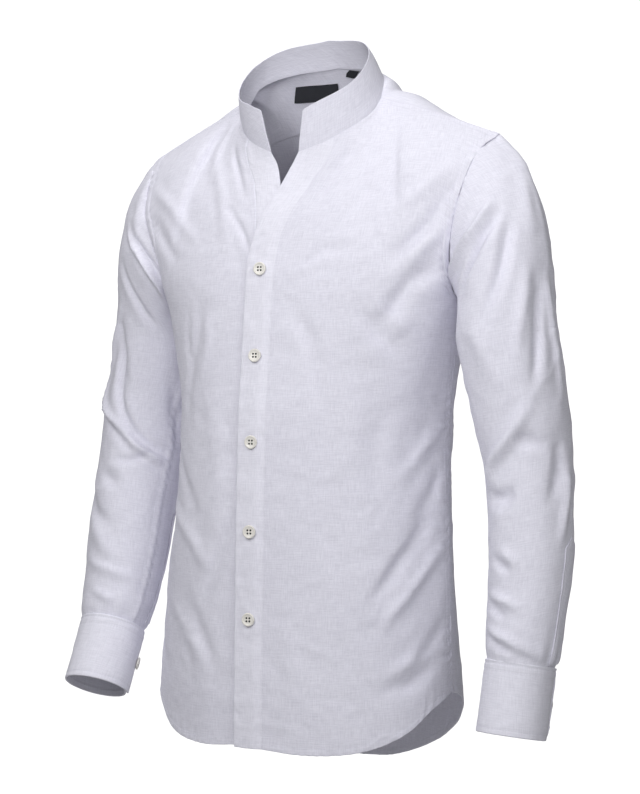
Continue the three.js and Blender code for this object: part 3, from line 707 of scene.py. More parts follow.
@dataclass(frozen=True)
class Hem:
    """Folded or sewn edge of a panel: a raised strip, its stitch grooves and its puckers.

    Attributes:
        edge: The edge that it follows.
        width: Width of the strip.
        raised: How far the strip stands up.
        rows: Distances of the stitch rows from the edge.
        pucker: Height of the puckers.
        wave: Their usual spacing.
        reach: How far the puckers run into the panel.
        low: Level under which the strip starts, if it doesn't run all the way.
        high: Level over which the strip ends, if it doesn't run all the way.
        groove: Depth of the grooves that the stitches pull.
    """

    edge: Edge
    width: float = 7.0
    raised: float = 0.35
    rows: tuple[float, ...] = (6.0,)
    pucker: float = 0.35
    wave: float = 10.0
    reach: float = 12.0
    low: float = 1e4
    high: float = -1e4
    groove: float = 0.42

    def height(self, panel: Panel) -> Array:
        """Height that the edge adds at every point of a panel."""
        d = panel.from_edge(self.edge)
        along = panel.v if self.edge in (Edge.START, Edge.END) else panel.u
        along = along[:, :-1] if panel.wrap else along
        seed = len(self.rows) * 3 + self.wave
        phase = (2 * np.pi * along / self.wave + 1.9 * np.sin(along / (self.wave * 0.9) + seed)
                 + 1.3 * np.sin(along / (self.wave * 2.3) + 2 * seed))
        uneven = 0.55 + 0.45 * np.sin(along / (self.wave * 1.7) + 3 * seed)
        height = self.raised * (1 - smoothstep(d, self.width - 1.0, self.width + 1.0))
        for row in self.rows:
            height = height - self.groove * bump(d - row, 0.9)
        fade = np.exp(-(np.maximum(d - self.width, 0) / self.reach) ** 1.4) * smoothstep(d, -1.0, 3.0)
        height = height + self.pucker * uneven * np.sin(phase) * fade
        levels = panel.points[..., 2]
        return (height * smoothstep(-levels, -self.low - 4, -self.low + 4)
                * smoothstep(levels, self.high - 4, self.high + 4))


def side_hems(*sizes, **more) -> tuple[Hem, ...]:
    """The same hem along both side edges of a panel."""
    return tuple(Hem(edge, *sizes, **more) for edge in (Edge.START, Edge.END))


def press_all(panel: Panel, marks: Sequence, sewn: Sequence[Edge] = ()) -> None:
    """Presses creases, crumples and edges into a panel at once.

    Args:
        panel: The panel.
        marks: What is pressed into it.
        sewn: Edges sewn to the next piece, where the marks fade out.
    """
    total = np.zeros(panel.points.shape[:2])
    for mark in marks:
        total = total + mark.height(panel)
    for edge in sewn:
        total = total * smoothstep(panel.from_edge(edge), -3, 9)
    panel.press(total)


# ---- Meshes ----
def mesh_object(name: str, points: Array, faces: Sequence,
                corners: Optional[Array] = None) -> Object:
    """Makes a smooth mesh object.

    Args:
        name: Its name.
        points: Its points in millimetres.
        faces: Its faces as point numbers.
        corners: Flat place in millimetres of each corner of each face, for its weave map.

    Returns:
        The linked object.
    """
    mesh = bpy.data.meshes.new(name)
    mesh.from_pydata((np.asarray(points) * MM).tolist(), [], [list(map(int, f)) for f in faces])
    mesh.polygons.foreach_set("use_smooth", [True] * len(mesh.polygons))
    if corners is not None:
        layer = mesh.uv_layers.new(name="weave")
        layer.data.foreach_set("uv", (np.asarray(corners, np.float32) * MM).ravel())
    mesh.update()
    obj = bpy.data.objects.new(name, mesh)
    bpy.context.scene.collection.objects.link(obj)
    return obj


def shell(name: str, panel: Panel, thick: float, extra: Optional[Array] = None,
          plump: float = 1.0) -> Object:
    """Makes a closed wall of cloth with rounded edges from a panel.

    Args:
        name: Name of the piece.
        panel: Its outer face.
        thick: Thickness of the cloth.
        extra: More thickness at each point, where cloth is doubled.
        plump: How round the edges are.

    Returns:
        The linked object.
    """
    rows, count = panel.points.shape[:2]
    depth = thick + (extra if extra is not None else 0.0) * np.ones((rows, count))
    outer, inner = panel.points, panel.points - panel.normal * depth[..., None]
    j, i = (a.ravel() for a in np.mgrid[0:rows - 1, 0:count if panel.wrap else count - 1])
    k, size, spans, flat = (i + 1) % count, rows * count, len(j), panel.grain
    face = np.stack([j * count + i, j * count + k, (j + 1) * count + k, (j + 1) * count + i], 1)
    quad = np.stack([flat[j, i], flat[j, i + 1], flat[j + 1, i + 1], flat[j + 1, i]], 1)
    faces, corners = [face, face[:, ::-1] + size], [quad, quad[:, ::-1]]
    parts = [outer.reshape(-1, 3), inner.reshape(-1, 3)]
    # Each place on a rim is its row and column, then those of its neighbour inside.
    top = [(0, q, 1, q) for q in range(count)]
    bottom = [(rows - 1, q, rows - 2, q) for q in range(count)][::-1]
    right, left = ([(r, q, r, q + step) for r in range(1, rows - 1)] for q, step in ((count - 1, -1), (0, 1)))
    start = 2 * size
    for loop in ([top, bottom] if panel.wrap else [top + right + bottom + left[::-1]]):
        r, q, e, f = (np.array(x) for x in zip(*loop))
        out = unit(outer[r, q] - outer[e, f])
        if not panel.wrap:
            for n in np.flatnonzero(np.isin(r, (0, rows - 1)) & np.isin(q, (0, count - 1))):
                beside = 1 if q[n] == 0 else count - 2
                out[n] = unit(out[n] + unit(outer[r[n], q[n]] - outer[r[n], beside]))
        centre = (outer[r, q] + inner[r, q]) / 2
        radius = np.linalg.norm(outer[r, q] - inner[r, q], axis=-1, keepdims=True) / 2
        rings = [r * count + q]
        for angle in np.radians((45, 90, 135)):
            parts.append(centre + (outer[r, q] - centre) * math.cos(angle) + out * radius * math.sin(angle) * plump)
            rings.append(start + np.arange(len(loop)))
            start += len(loop)
        rings.append(r * count + q + size)
        after = (np.arange(len(loop)) + 1) % len(loop)
        place = flat[r, q]
        for one, two in zip(rings, rings[1:]):
            faces.append(np.stack([one[after], one, two, two[after]], 1))
            corners.append(np.stack([place[after], place, place, place[after]], 1))
    faces, corners = np.concatenate(faces), np.concatenate(corners)
    if panel.flip:
        faces, corners = faces[:, ::-1], corners[:, ::-1]
    obj = mesh_object(name, np.concatenate(parts), faces, corners.reshape(-1, 2))
    bent = np.empty(len(faces) * 12, np.float32)
    obj.data.corner_normals.foreach_get("vector", bent)
    bent, normal = bent.reshape(-1, 4, 3), panel.normal.reshape(-1, 3)
    bent[:spans] = normal[faces[:spans]]
    bent[spans:2 * spans] = -normal[faces[spans:2 * spans] - size]
    obj.data.normals_split_custom_set(bent.reshape(-1, 3).tolist())
    return obj


# ---- Finishes ----
def node(tree: Tree, kind: str, values: Optional[dict] = None, **settings) -> Node:
    """Adds a node, sets its plain settings and its unlinked inputs."""
    made = tree.nodes.new(kind)
    for key, value in settings.items():
        setattr(made, key, value)
    for key, value in (values or {}).items():
        made.inputs[key].default_value = value
    return made


def wire(tree: Tree, *links: tuple) -> None:
    """Joins sockets; each link is a node, its output, the next node and its input."""
    for source, output, target, entry in links:
        tree.links.new(source.outputs[output], target.inputs[entry])


def ranges(tree: Tree, *spans: tuple) -> list[Node]:
    """Adds nodes that map one range to another; a span is from low, from high, to low, to high."""
    keys = ("From Min", "From Max", "To Min", "To Max")
    return [node(tree, "ShaderNodeMapRange", dict(zip(keys, span))) for span in spans]


def principled(name: str, values: dict) -> tuple[Material, Tree, Node]:
    """Starts a material; returns it, its tree and its shader, whose plain values are set."""
    material = bpy.data.materials.new(name)
    material.use_nodes = True
    shader = material.node_tree.nodes["Principled BSDF"]
    for key, value in values.items():
        shader.inputs[key].default_value = value
    return material, material.node_tree, shader


@dataclass(frozen=True)
class Finish:
    """What all finishes share.

    Attributes:
        name: Name of the material.
        tint: Its light tint.
        shade: Its dark tint.
    """

    name: str
    tint: Colour
    shade: Colour

    def colour(self, tree: Tree, source: Node, output: int | str,
               shader: Node) -> None:
        """Blends from the dark tint to the light one by a node's output."""
        blend = node(tree, "ShaderNodeMix", {6: (*self.shade, 1), 7: (*self.tint, 1)}, data_type="RGBA")
        wire(tree, (source, output, blend, 0), (blend, 2, shader, "Base Color"))


@dataclass(frozen=True)
class Cotton(Finish):
    """Slubby, lightly brushed white cotton, on a map whose units are metres of flat cloth.

    Attributes:
        slub_long: How many long slubs lie in a metre across and a metre down.
        slub_fine: The same for the fine ones.
        slub_warp: The same for those that run down the cloth.
        nap: Grains of nap in a metre.
        relief: Depth of the weave in metres.
    """

    name: str = "cotton"
    tint: Colour = (0.84, 0.833, 0.925)
    shade: Colour = (0.695, 0.687, 0.78)
    slub_long: tuple[float, float] = (48.0, 800.0)
    slub_fine: tuple[float, float] = (160.0, 1700.0)
    slub_warp: tuple[float, float] = (900.0, 70.0)
    nap: float = 1500.0
    relief: float = 0.00022

    def slubs(self, tree: Tree, flat: Node, many: tuple,
              detail: float) -> Node:
        """Noise that is drawn out along the threads."""
        place = node(tree, "ShaderNodeMapping", {"Scale": (*many, 1.0)})
        cloud = node(tree, "ShaderNodeTexNoise", {"Scale": 1.0, "Detail": detail, "Roughness": 0.6})
        wire(tree, (flat, 0, place, "Vector"), (place, 0, cloud, "Vector"))
        return cloud

    def make(self) -> Material:
        """Builds the material."""
        material, tree, shader = principled(self.name, {
            "Roughness": 0.93, "Specular IOR Level": 0.18, "Sheen Weight": 0.12, "Sheen Roughness": 0.6})
        flat, place = node(tree, "ShaderNodeUVMap", uv_map="weave"), node(tree, "ShaderNodeTexCoord")
        coarse = self.slubs(tree, flat, self.slub_long, 3.0)
        fine = self.slubs(tree, flat, self.slub_fine, 2.0)
        warp = self.slubs(tree, flat, self.slub_warp, 3.0)
        nap = node(tree, "ShaderNodeTexNoise", {"Scale": self.nap, "Detail": 2.0, "Roughness": 0.7})
        broad = node(tree, "ShaderNodeTexNoise", {"Scale": 7.0, "Detail": 2.0})
        slub, weave, brushed = (node(tree, "ShaderNodeMix", {"Factor": share}, data_type="FLOAT")
                                for share in (0.45, 0.4, 0.35))
        tone, drift = ranges(tree, (0.39, 0.61, 0.0, 1.0), (0.3, 0.7, -0.12, 0.12))
        total = node(tree, "ShaderNodeMath", operation="ADD", use_clamp=True)
        relief = node(tree, "ShaderNodeBump", {"Strength": 0.55, "Distance": self.relief})
        wire(tree, (flat, 0, nap, "Vector"), (place, "Object", broad, "Vector"),
             (coarse, "Fac", slub, 2), (fine, "Fac", slub, 3), (slub, 0, weave, 2), (warp, "Fac", weave, 3),
             (weave, 0, tone, "Value"), (broad, "Fac", drift, "Value"), (tone, 0, total, 0), (drift, 0, total, 1),
             (weave, 0, brushed, 2), (nap, "Fac", brushed, 3), (brushed, 0, relief, "Height"),
             (relief, 0, shader, "Normal"))
        self.colour(tree, total, 0, shader)
        return material


@dataclass(frozen=True)
class Thread(Finish):
    """Spun thread with a fine twist along each stitch."""

    name: str = "thread"
    tint: Colour = (0.77, 0.763, 0.85)
    shade: Colour = (0.6622, 0.65618, 0.731)

    def make(self) -> Material:
        """Builds the material."""
        material, tree, shader = principled(self.name, {"Roughness": 0.7, "Sheen Weight": 0.1})
        place = node(tree, "ShaderNodeTexCoord")
        cloud = node(tree, "ShaderNodeTexNoise", {"Scale": 900.0, "Detail": 1.0})
        wire(tree, (place, "Object", cloud, "Vector"))
        self.colour(tree, cloud, "Fac", shader)
        return material


@dataclass(frozen=True)
class Ivory(Finish):
    """Softly polished ivory resin with faint clouding."""

    name: str = "ivory"
    tint: Colour = (0.88, 0.86, 0.81)
    shade: Colour = (0.74, 0.71, 0.66)

    def make(self) -> Material:
        """Builds the material."""
        material, tree, shader = principled(self.name, {
            "Roughness": 0.34, "Coat Weight": 0.25, "Coat Roughness": 0.2})
        place = node(tree, "ShaderNodeTexCoord")
        cloud = node(tree, "ShaderNodeTexNoise", {"Scale": 260.0, "Detail": 3.0, "Distortion": 0.6})
        wire(tree, (place, "Object", cloud, "Vector"))
        self.colour(tree, cloud, "Fac", shader)
        return material


@dataclass(frozen=True)
class DarkTapeAndHoleShade(Finish):
    """Dark woven tape with a fine cross rib, also put inside the button holes as painted shade."""

    name: str = "dark_tape_and_hole_shade"
    tint: Colour = (0.035, 0.037, 0.046)
    shade: Colour = (0.016, 0.017, 0.022)

    def make(self) -> Material:
        """Builds the material on the weave map."""
        material, tree, shader = principled(self.name, {"Roughness": 0.75})
        flat = node(tree, "ShaderNodeUVMap", uv_map="weave")
        rib = node(tree, "ShaderNodeTexWave", {"Scale": 550.0, "Distortion": 0.6, "Detail": 1.0})
        relief = node(tree, "ShaderNodeBump", {"Strength": 0.5, "Distance": 0.0002})
        wire(tree, (flat, 0, rib, "Vector"), (rib, "Fac", relief, "Height"), (relief, 0, shader, "Normal"))
        self.colour(tree, rib, "Fac", shader)
        return material


@dataclass
class Finishes:
    """The finishes that the shirt is dressed in.

    Attributes:
        cotton: Single cloth.
        doubled: Doubled cloth with a lighter tint, partly the doubled cloth's own whiteness and partly painted
            light that brightens the placket, band and cuffs.
        thread: Stitches.
        ivory: Buttons.
        tape: Neck tapes, and painted shade inside the button holes.
    """

    cotton: Material = field(default_factory=lambda: Cotton().make())
    # Partly painted light: this lighter copy of the cotton brightens the placket, band and cuffs.
    doubled: Material = field(default_factory=lambda: Cotton(
        "cotton_doubled_painted_lighter", (0.872, 0.865, 0.955), (0.742, 0.735, 0.825)).make())
    thread: Material = field(default_factory=lambda: Thread().make())
    ivory: Material = field(default_factory=lambda: Ivory().make())
    tape: Material = field(default_factory=lambda: DarkTapeAndHoleShade().make())


def dress(obj: Object, material: Material, slot: str, *nodes: str) -> Object:
    """Gives a piece its finish and body, and hides the nodes that it stands for."""
    obj.data.materials.clear()
    obj.data.materials.append(material)
    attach(obj, "root")
    if nodes:
        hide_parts(*nodes)
    LOG.info("%s: %d faces", obj.name, len(obj.data.polygons))
    return obj


def cloth(part: str, panel: Panel, thick: float, material: Material, extra: Optional[Array] = None,
          plump: float = 1.0) -> Object:
    """Makes a wall of cloth from a panel and dresses it for the node that it stands for."""
    return dress(shell(f"cloth_{part}", panel, thick, extra, plump), material, "cloth", part)


# ---- Stitches ----
@dataclass
class StitchRows:
    """Rows of thread set along lines on the cloth, by Geometry Nodes.

    Attributes:
        pitch: Distance from stitch to stitch.
        length: Length of a stitch.
        radius: Half the thread's thickness.
    """

    pitch: float = 3.1
    length: float = 2.3
    radius: float = 0.2

    def tree(self, material: Material) -> Tree:
        """Builds the node tree that sets a stitch at every pitch of every line."""
        tree = bpy.data.node_groups.new("stitch_rows", "GeometryNodeTree")
        face = tree.interface
        face.new_socket("Geometry", in_out="INPUT", socket_type="NodeSocketGeometry")
        for name in ("Pitch", "Length", "Radius"):
            face.new_socket(name, in_out="INPUT", socket_type="NodeSocketFloat")
        face.new_socket("Geometry", in_out="OUTPUT", socket_type="NodeSocketGeometry")
        start, end = node(tree, "NodeGroupInput"), node(tree, "NodeGroupOutput")
        places = node(tree, "GeometryNodeCurveToPoints", mode="LENGTH")
        bead = node(tree, "GeometryNodeMeshUVSphere", {"Segments": 6, "Rings": 4, "Radius": 1.0})
        half = node(tree, "ShaderNodeMath", {1: 0.5}, operation="MULTIPLY")
        size, stitch = node(tree, "ShaderNodeCombineXYZ"), node(tree, "GeometryNodeTransform")
        uneven = node(tree, "FunctionNodeRandomValue", {"Seed": 11, 2: 0.85, 3: 1.1}, data_type="FLOAT")
        put, real = node(tree, "GeometryNodeInstanceOnPoints"), node(tree, "GeometryNodeRealizeInstances")
        paint = node(tree, "GeometryNodeSetMaterial", {"Material": material})
        wire(tree, (start, "Geometry", places, "Curve"), (start, "Pitch", places, "Length"),
             (start, "Length", half, 0), (start, "Radius", size, "X"), (start, "Radius", size, "Y"),
             (half, 0, size, "Z"), (bead, "Mesh", stitch, "Geometry"), (size, 0, stitch, "Scale"),
             (places, "Points", put, "Points"), (stitch, "Geometry", put, "Instance"),
             (places, "Rotation", put, "Rotation"), (uneven, 1, put, "Scale"),
             (put, "Instances", real, "Geometry"), (real, "Geometry", paint, "Geometry"),
             (paint, "Geometry", end, "Geometry"))
        return tree

    def sew(self, name: str, lines: Sequence[Array], material: Material) -> Object:
        """Sews stitches along lines of points in millimetres.

        Args:
            name: Name of the piece.
            lines: One array of points for each row.
            material: Its finish.

        Returns:
            The dressed piece.
        """
        curve = bpy.data.curves.new(name + "_lines", "CURVE")
        curve.dimensions = "3D"
        for line in lines:
            spline = curve.splines.new("POLY")
            spline.points.add(len(line) - 1)
            spline.points.foreach_set("co", np.column_stack([line * MM, np.ones(len(line))]).ravel())
        guide = bpy.data.objects.new(name + "_lines", curve)
        bpy.context.scene.collection.objects.link(guide)
        tree = self.tree(material)
        modifier = guide.modifiers.new("stitches", "NODES")
        modifier.node_group = tree
        sizes = {"Pitch": self.pitch, "Length": self.length, "Radius": self.radius}
        for item in tree.interface.items_tree:
            if item.in_out == "INPUT" and item.name in sizes:
                modifier[item.identifier] = sizes[item.name] * MM
        bpy.context.view_layer.update()
        made = guide.evaluated_get(bpy.context.evaluated_depsgraph_get())
        mesh = bpy.data.meshes.new_from_object(made)
        mesh.name = name
        mesh.polygons.foreach_set("use_smooth", [True] * len(mesh.polygons))
        bpy.data.objects.remove(guide)
        bpy.data.curves.remove(curve)
        obj = bpy.data.objects.new(name, mesh)
        bpy.context.scene.collection.objects.link(obj)
        return dress(obj, material, "cloth")


# ---- Fronts ----
@dataclass
class Front:
    """One front with the band along its edge.

    Attributes:
        side: Side of the wearer.
        hem: Level of the hem by share of the way from the band to the side seam.
        starts: Turn of the collar seam where the band meets the front.
        ends: Turn of the collar seam where the collar ends.
        creases: Creases placed by share of the way to the side seam and level.
        flat: Width and length of the cut in metres; not used.
        cut: Area of the cut in square metres; not used.
        underlap: How far the right front lies under the left one.
        cloth: Thickness of the cloth.
        band_thick: Thickness of the folded band.
        first_button: Level of the highest button.
        sewn_in: How far inside the band its inner stitch row lies.
        width: Width of the front along its upper edge, for the spacing of its columns.
    """

    side: Side
    hem: Table
    starts: float
    ends: float
    creases: tuple[Crease, ...]
    flat: tuple[float, float] = (0.24, 0.70)
    cut: float = 0.140
    underlap: float = 3.0
    cloth: float = 1.0
    band_thick: float = 2.0
    first_button: float = BUTTON_LEVELS[0]
    sewn_in: float = 1.0
    width: float = 170.0

    def rows(self) -> tuple[Array, Array]:
        """Shares of the way down above and below the underarm level."""
        return stations(190, 3.0, 1.4, start=12), stations(465, 3.2, 1.3, end=14)[1:]

    def band_columns(self) -> Array:
        """Shares of the way across the band, from its edge to its seam."""
        return stations(34, 2.4, 1.1, start=5, end=5)

    def grid(self, share: Array) -> Array:
        """Points of the front panel on the shirt's form.

        Args:
            share: Shares of the way from the band to the side.

        Returns:
            Rows by columns of points.
        """
        s, side = self.side.value, self.side
        upper, lower = self.rows()
        seam_x = lambda z: FORM.bands[side].read(z, "seam")
        begin = s * FORM.swing_at(seam_x(CHEST_Z), CHEST_Z)
        top, out = FORM.upper_edge(side, share, self.starts, (s * 0.12, -0.42, -0.9), -1)
        swing = s * lerp(begin, 90.0, share)
        below, fall = FORM.torso(CHEST_Z, swing, Face.FRONT), FORM.torso_fall(swing, Face.FRONT)
        t = upper[:, None, None]
        sheet = sweep(top[None], out[None], below[None], fall[None], t)
        first = sheet[:, 0]
        inner = (FORM.chest_front(seam_x(first[:, 2]), first[:, 2]) - first) * smoothstep(upper, 0, 0.3)[:, None]
        sheet = (meet(sheet, FORM.armhole(side, Face.FRONT, upper), share)
                 + inner[:, None] * ((1 - share) ** 3)[None, :, None])
        z = lerp(CHEST_Z, self.hem.read(share, "z")[None], lower[:, None])
        edge = FORM.chest_front(seam_x(z), z)
        start = FORM.swing_at(edge[..., 0], z)
        body = FORM.torso(z, lerp(start, s * 90.0, share[None]), Face.FRONT)
        return np.concatenate([sheet, body])

    def band_grid(self, seam: Array) -> Array:
        """Points of the band beside the front's inner seam."""
        s = self.side.value
        upper, _ = self.rows()
        down = np.concatenate([upper, np.ones(len(seam) - len(upper))])
        t = self.band_columns()
        drop = FORM.neck_seam(s * self.starts)[2] - FORM.neck_seam(s * self.ends)[2]
        slant = np.maximum(0, 1 - 2 * down)[:, None]
        z = seam[:, 2:3] - drop * slant * (1 - t)[None]
        edge = FORM.bands[self.side].read(z, "edge")
        grid = FORM.chest_front(lerp(edge, seam[:, :1], t[None]), z)
        first = FORM.neck_seam(s * lerp(self.ends, self.starts, t)) - grid[0]
        grid = grid + first[None] * np.maximum(0, 1 - down / 0.12)[:, None, None] ** 1.5
        return grid + (seam - grid[:, -1])[:, None] * (t * t)[None, :, None]

    def dip(self, grid: Array) -> Array:
        """How far the right front passes under the left one's edge."""
        if self.side is Side.LEFT:
            return np.zeros(grid.shape[:2])
        edge = FORM.bands[Side.LEFT].read(grid[..., 2], "edge")
        return -self.underlap * smoothstep(grid[..., 0] - edge, -50, -5)

    def build(self, finishes: Finishes) -> None:
        """Makes the panel, its band and their stitches, and dresses them."""
        side, word = self.side, self.side.word
        left = side is Side.LEFT
        share = stations(self.width, 2.9, 1.4, start=10, end=12)
        body = self.grid(share)
        strip = self.band_grid(body[:, 0])
        names = np.concatenate([self.band_columns() - 1, share[1:]])
        whole = Panel(np.concatenate([strip, body[:, 1:]], axis=1), names, flip=left,
                      level_row=len(self.rows()[0]) - 1)
        whole.press(self.dip(whole.points))
        press_all(whole, self.creases, (Edge.END,))
        seed = 5 if left else 8
        press_all(whole, (SIDE_RIDGE, Rumple(0.6, (26, 26, 20), seed), Rumple(0.18, (11, 11, 8), seed + 10)))
        self.band, self.panel = whole.split(strip.shape[1] - 1)
        press_all(self.panel, (
            Hem(Edge.TOP, 6, 0.3, (HEM_ROW,), 0.25, 9, 8, groove=0.3),
            Hem(Edge.BOTTOM, 7, 0.3, (HEM_ROW,), 0.7, 11, 10),
            Hem(Edge.END, 9, 0.65, (FELL_ROW,), 1.2, 7, 7, high=OVER_UNDERARM, groove=0.7),
            Hem(Edge.END, 6, 0.2, (SEAM_ROW, SEAM_FAR_ROW), 0.9, 12, 13, low=UNDER_UNDERARM)))
        if left:
            free = smoothstep(self.band.from_edge(Edge.END), 1, 12)
            self.band.press(2.1 * free * smoothstep(-self.band.points[..., 2], 95, -self.first_button))
        press_all(self.band, (
            Hem(Edge.START, 4, 0.1, (), 0.4, 16, 10),
            Hem(Edge.END, 3, 0.0, (self.sewn_in,), 0.2, 9, 7, low=self.first_button + 6 if left else 1e4,
                groove=0.25 if left else 0.6),
            Hem(Edge.BOTTOM, 7, 0.2, (HEM_ROW,), 0.2, 12, 8)))
        hemmed = 0.8 * (1 - smoothstep(self.panel.from_edge(Edge.BOTTOM), 6, 8))
        panel = cloth(f"front_{word}", self.panel, self.cloth, finishes.cotton, hemmed)
        # The band's doubled finish is lighter partly as painted light.
        strip = cloth("placket_left" if left else "button_band_right", self.band, self.band_thick,
                      finishes.doubled, plump=0.8)
        rows = len(self.band.points)
        begin = self.band.row_of(0.0, self.first_button + 4)[0] / rows if left else 0.01
        lines = self.panel.insets(
            (Edge.BOTTOM, HEM_ROW, 0.02, 0.985, LIFT), (Edge.END, FELL_ROW, 0.02, 0.30, LIFT),
            (Edge.TOP, HEM_ROW, 0.44, 0.97, 0.05), (Edge.END, SEAM_ROW, 0.345, 0.985, LIFT),
            (Edge.END, SEAM_FAR_ROW, 0.345, 0.985, LIFT))
        lines += self.band.insets((Edge.END, self.sewn_in, begin, 0.995, 0.02),
                                  (Edge.BOTTOM, HEM_ROW, 0.04, 0.96, LIFT))
        sewn = StitchRows().sew(f"stitches_front_{word}", lines, finishes.thread)
        LOG.info("front %s %.4f m2, band %.4f m2", word, self.panel.area(), self.band.area())


# ---- Yoke and back ----
@dataclass
class BackPanels:
    """The yoke over the shoulders and the back below it.

    Attributes:
        yoke_creases: Creases of the yoke, by share of the way to an armhole and level.
        back_creases: Creases of the back, placed in the same way.
        hem: Level of the hem by share of the way from the middle to the side seam.
        cloth: Thickness of the cloth.
        fullness: How far the yoke's middle swells.
    """

    yoke_creases: tuple[Crease, ...]
    back_creases: tuple[Crease, ...]
    hem: Table = Table(("share", "z"), (
        (0, -741), (0.15, -737), (0.39, -714), (0.6, -686), (0.8, -655), (1, -641)))
    cloth: float = 1.0
    fullness: float = 11.0

    def upper_rows(self) -> Array:
        """Shares of the way down the back above the underarm level."""
        return stations(205, 3.1, 1.4, start=8)

    def yoke_fall(self, share: Array) -> Array:
        """Direction of the cloth as it falls across the yoke's lower edge."""
        return vec(0, lerp(0.42, 0.3, share), lerp(-0.9, -0.95, share))

    def both(self, half: Callable[[Side, Array], Array], share: Array) -> Array:
        """Joins a right and a left half, each made from the centre to the armhole."""
        right, left = half(Side.RIGHT, share), half(Side.LEFT, share)
        return np.concatenate([right[:, ::-1], left[:, 1:]], axis=1)

    def yoke_half(self, side: Side, share: Array) -> Array:
        """Half of the yoke from the centre back to the armhole."""
        rows = stations(112, 2.6, 1.3, start=8, end=8)
        top, leave = FORM.upper_edge(side, share, 180.0, (0, 0.55, -0.83), 1)
        low, fall = FORM.yoke_edge_at(side, share), self.yoke_fall(share)
        sheet = sweep(top[None], leave[None], low[None], fall[None], rows[:, None, None])
        rise = self.fullness * np.sin(np.pi * rows)[:, None] * bump(share - 0.5, 0.21)[None]
        return meet(sheet, FORM.armhole(side, Face.BACK, rows * YOKE_DEPTH), share) + vec(0, 0, rise)

    def back_half(self, side: Side, share: Array) -> Array:
        """Half of the back from its centre to the side."""
        s = side.value
        upper, lower = self.upper_rows(), stations(505, 3.3, 1.3, end=14)[1:]
        high, fall = FORM.yoke_edge_at(side, share), self.yoke_fall(share)
        swing = s * 90 * share
        below, drop = FORM.torso(CHEST_Z, swing, Face.BACK), FORM.torso_fall(swing, Face.BACK)
        sheet = sweep(high[None], fall[None], below[None], drop[None], upper[:, None, None])
        sheet = meet(sheet, FORM.armhole(side, Face.BACK, lerp(YOKE_DEPTH, 1.0, upper)), share)
        z = lerp(CHEST_Z, self.hem.read(share, "z")[None], lower[:, None])
        body = FORM.torso(z, np.broadcast_to(swing[None], z.shape), Face.BACK)
        return np.concatenate([sheet, body])

    def build(self, finishes: Finishes) -> None:
        """Makes the yoke, the back and their stitches, and dresses them."""
        share = stations(235, 3.0, 1.4, end=12)
        names = np.concatenate([-share[::-1], share[1:]])
        self.yoke = Panel(self.both(self.yoke_half, share), names)
        self.back = Panel(self.both(self.back_half, share), names, level_row=len(self.upper_rows()) - 1)
        press_all(self.yoke, (
            *self.yoke_creases, Rumple(0.4, seed=21),
            Hem(Edge.TOP, 5, 0.15, (), 0.15, 10, 8), Hem(Edge.BOTTOM, 3, 0.3, (SEAM_ROW,), 0.2, 12, 8),
            *side_hems(9, 0.2, (FELL_ROW,), 0.4, 11, 9)))
        press_all(self.back, self.back_creases, (Edge.START, Edge.END))
        press_all(self.back, (
            SIDE_RIDGE, SIDE_RIDGE.mirrored(), Rumple(0.6, seed=31),
            Hem(Edge.TOP, 3, 0.0, (), 0.25, 12, 12), Hem(Edge.BOTTOM, 7, 0.3, (HEM_ROW,), 0.55, 11, 10),
            *side_hems(9, 0.2, (FELL_ROW,), 0.45, 11, 9, high=OVER_UNDERARM),
            *side_hems(3, 0.15, (), 0.5, 12, 13, low=UNDER_UNDERARM)))
        hemmed = 0.8 * (1 - smoothstep(self.back.from_edge(Edge.BOTTOM), 6, 8))
        ledge = 1 - smoothstep(self.yoke.from_edge(Edge.BOTTOM), 2, 5)
        yoke = cloth("yoke", self.yoke, self.cloth, finishes.cotton, ledge)
        back = cloth("back", self.back, self.cloth, finishes.cotton, hemmed)
        on_yoke = StitchRows().sew("stitches_yoke", self.yoke.insets(
            (Edge.BOTTOM, SEAM_ROW, 0.01, 0.99, LIFT), (Edge.START, FELL_ROW, 0.05, 0.97, LIFT),
            (Edge.END, FELL_ROW, 0.05, 0.97, LIFT), (Edge.TOP, SEAM_ROW, 0.02, 0.30, LIFT),
            (Edge.TOP, SEAM_ROW, 0.70, 0.98, LIFT), (Edge.BOTTOM, 1.6, 0.01, 0.99, -self.cloth - 1.1)),
            finishes.thread)
        on_back = StitchRows().sew("stitches_back", self.back.insets(
            (Edge.BOTTOM, HEM_ROW, 0.01, 0.99, LIFT, 400),
            (Edge.BOTTOM, HEM_ROW, 0.01, 0.99, -self.cloth - 0.9, 400),
            (Edge.START, FELL_ROW, 0.02, 0.29, LIFT), (Edge.END, FELL_ROW, 0.02, 0.29, LIFT)), finishes.thread)
        LOG.info("yoke %.4f m2, back %.4f m2", self.yoke.area(), self.back.area())


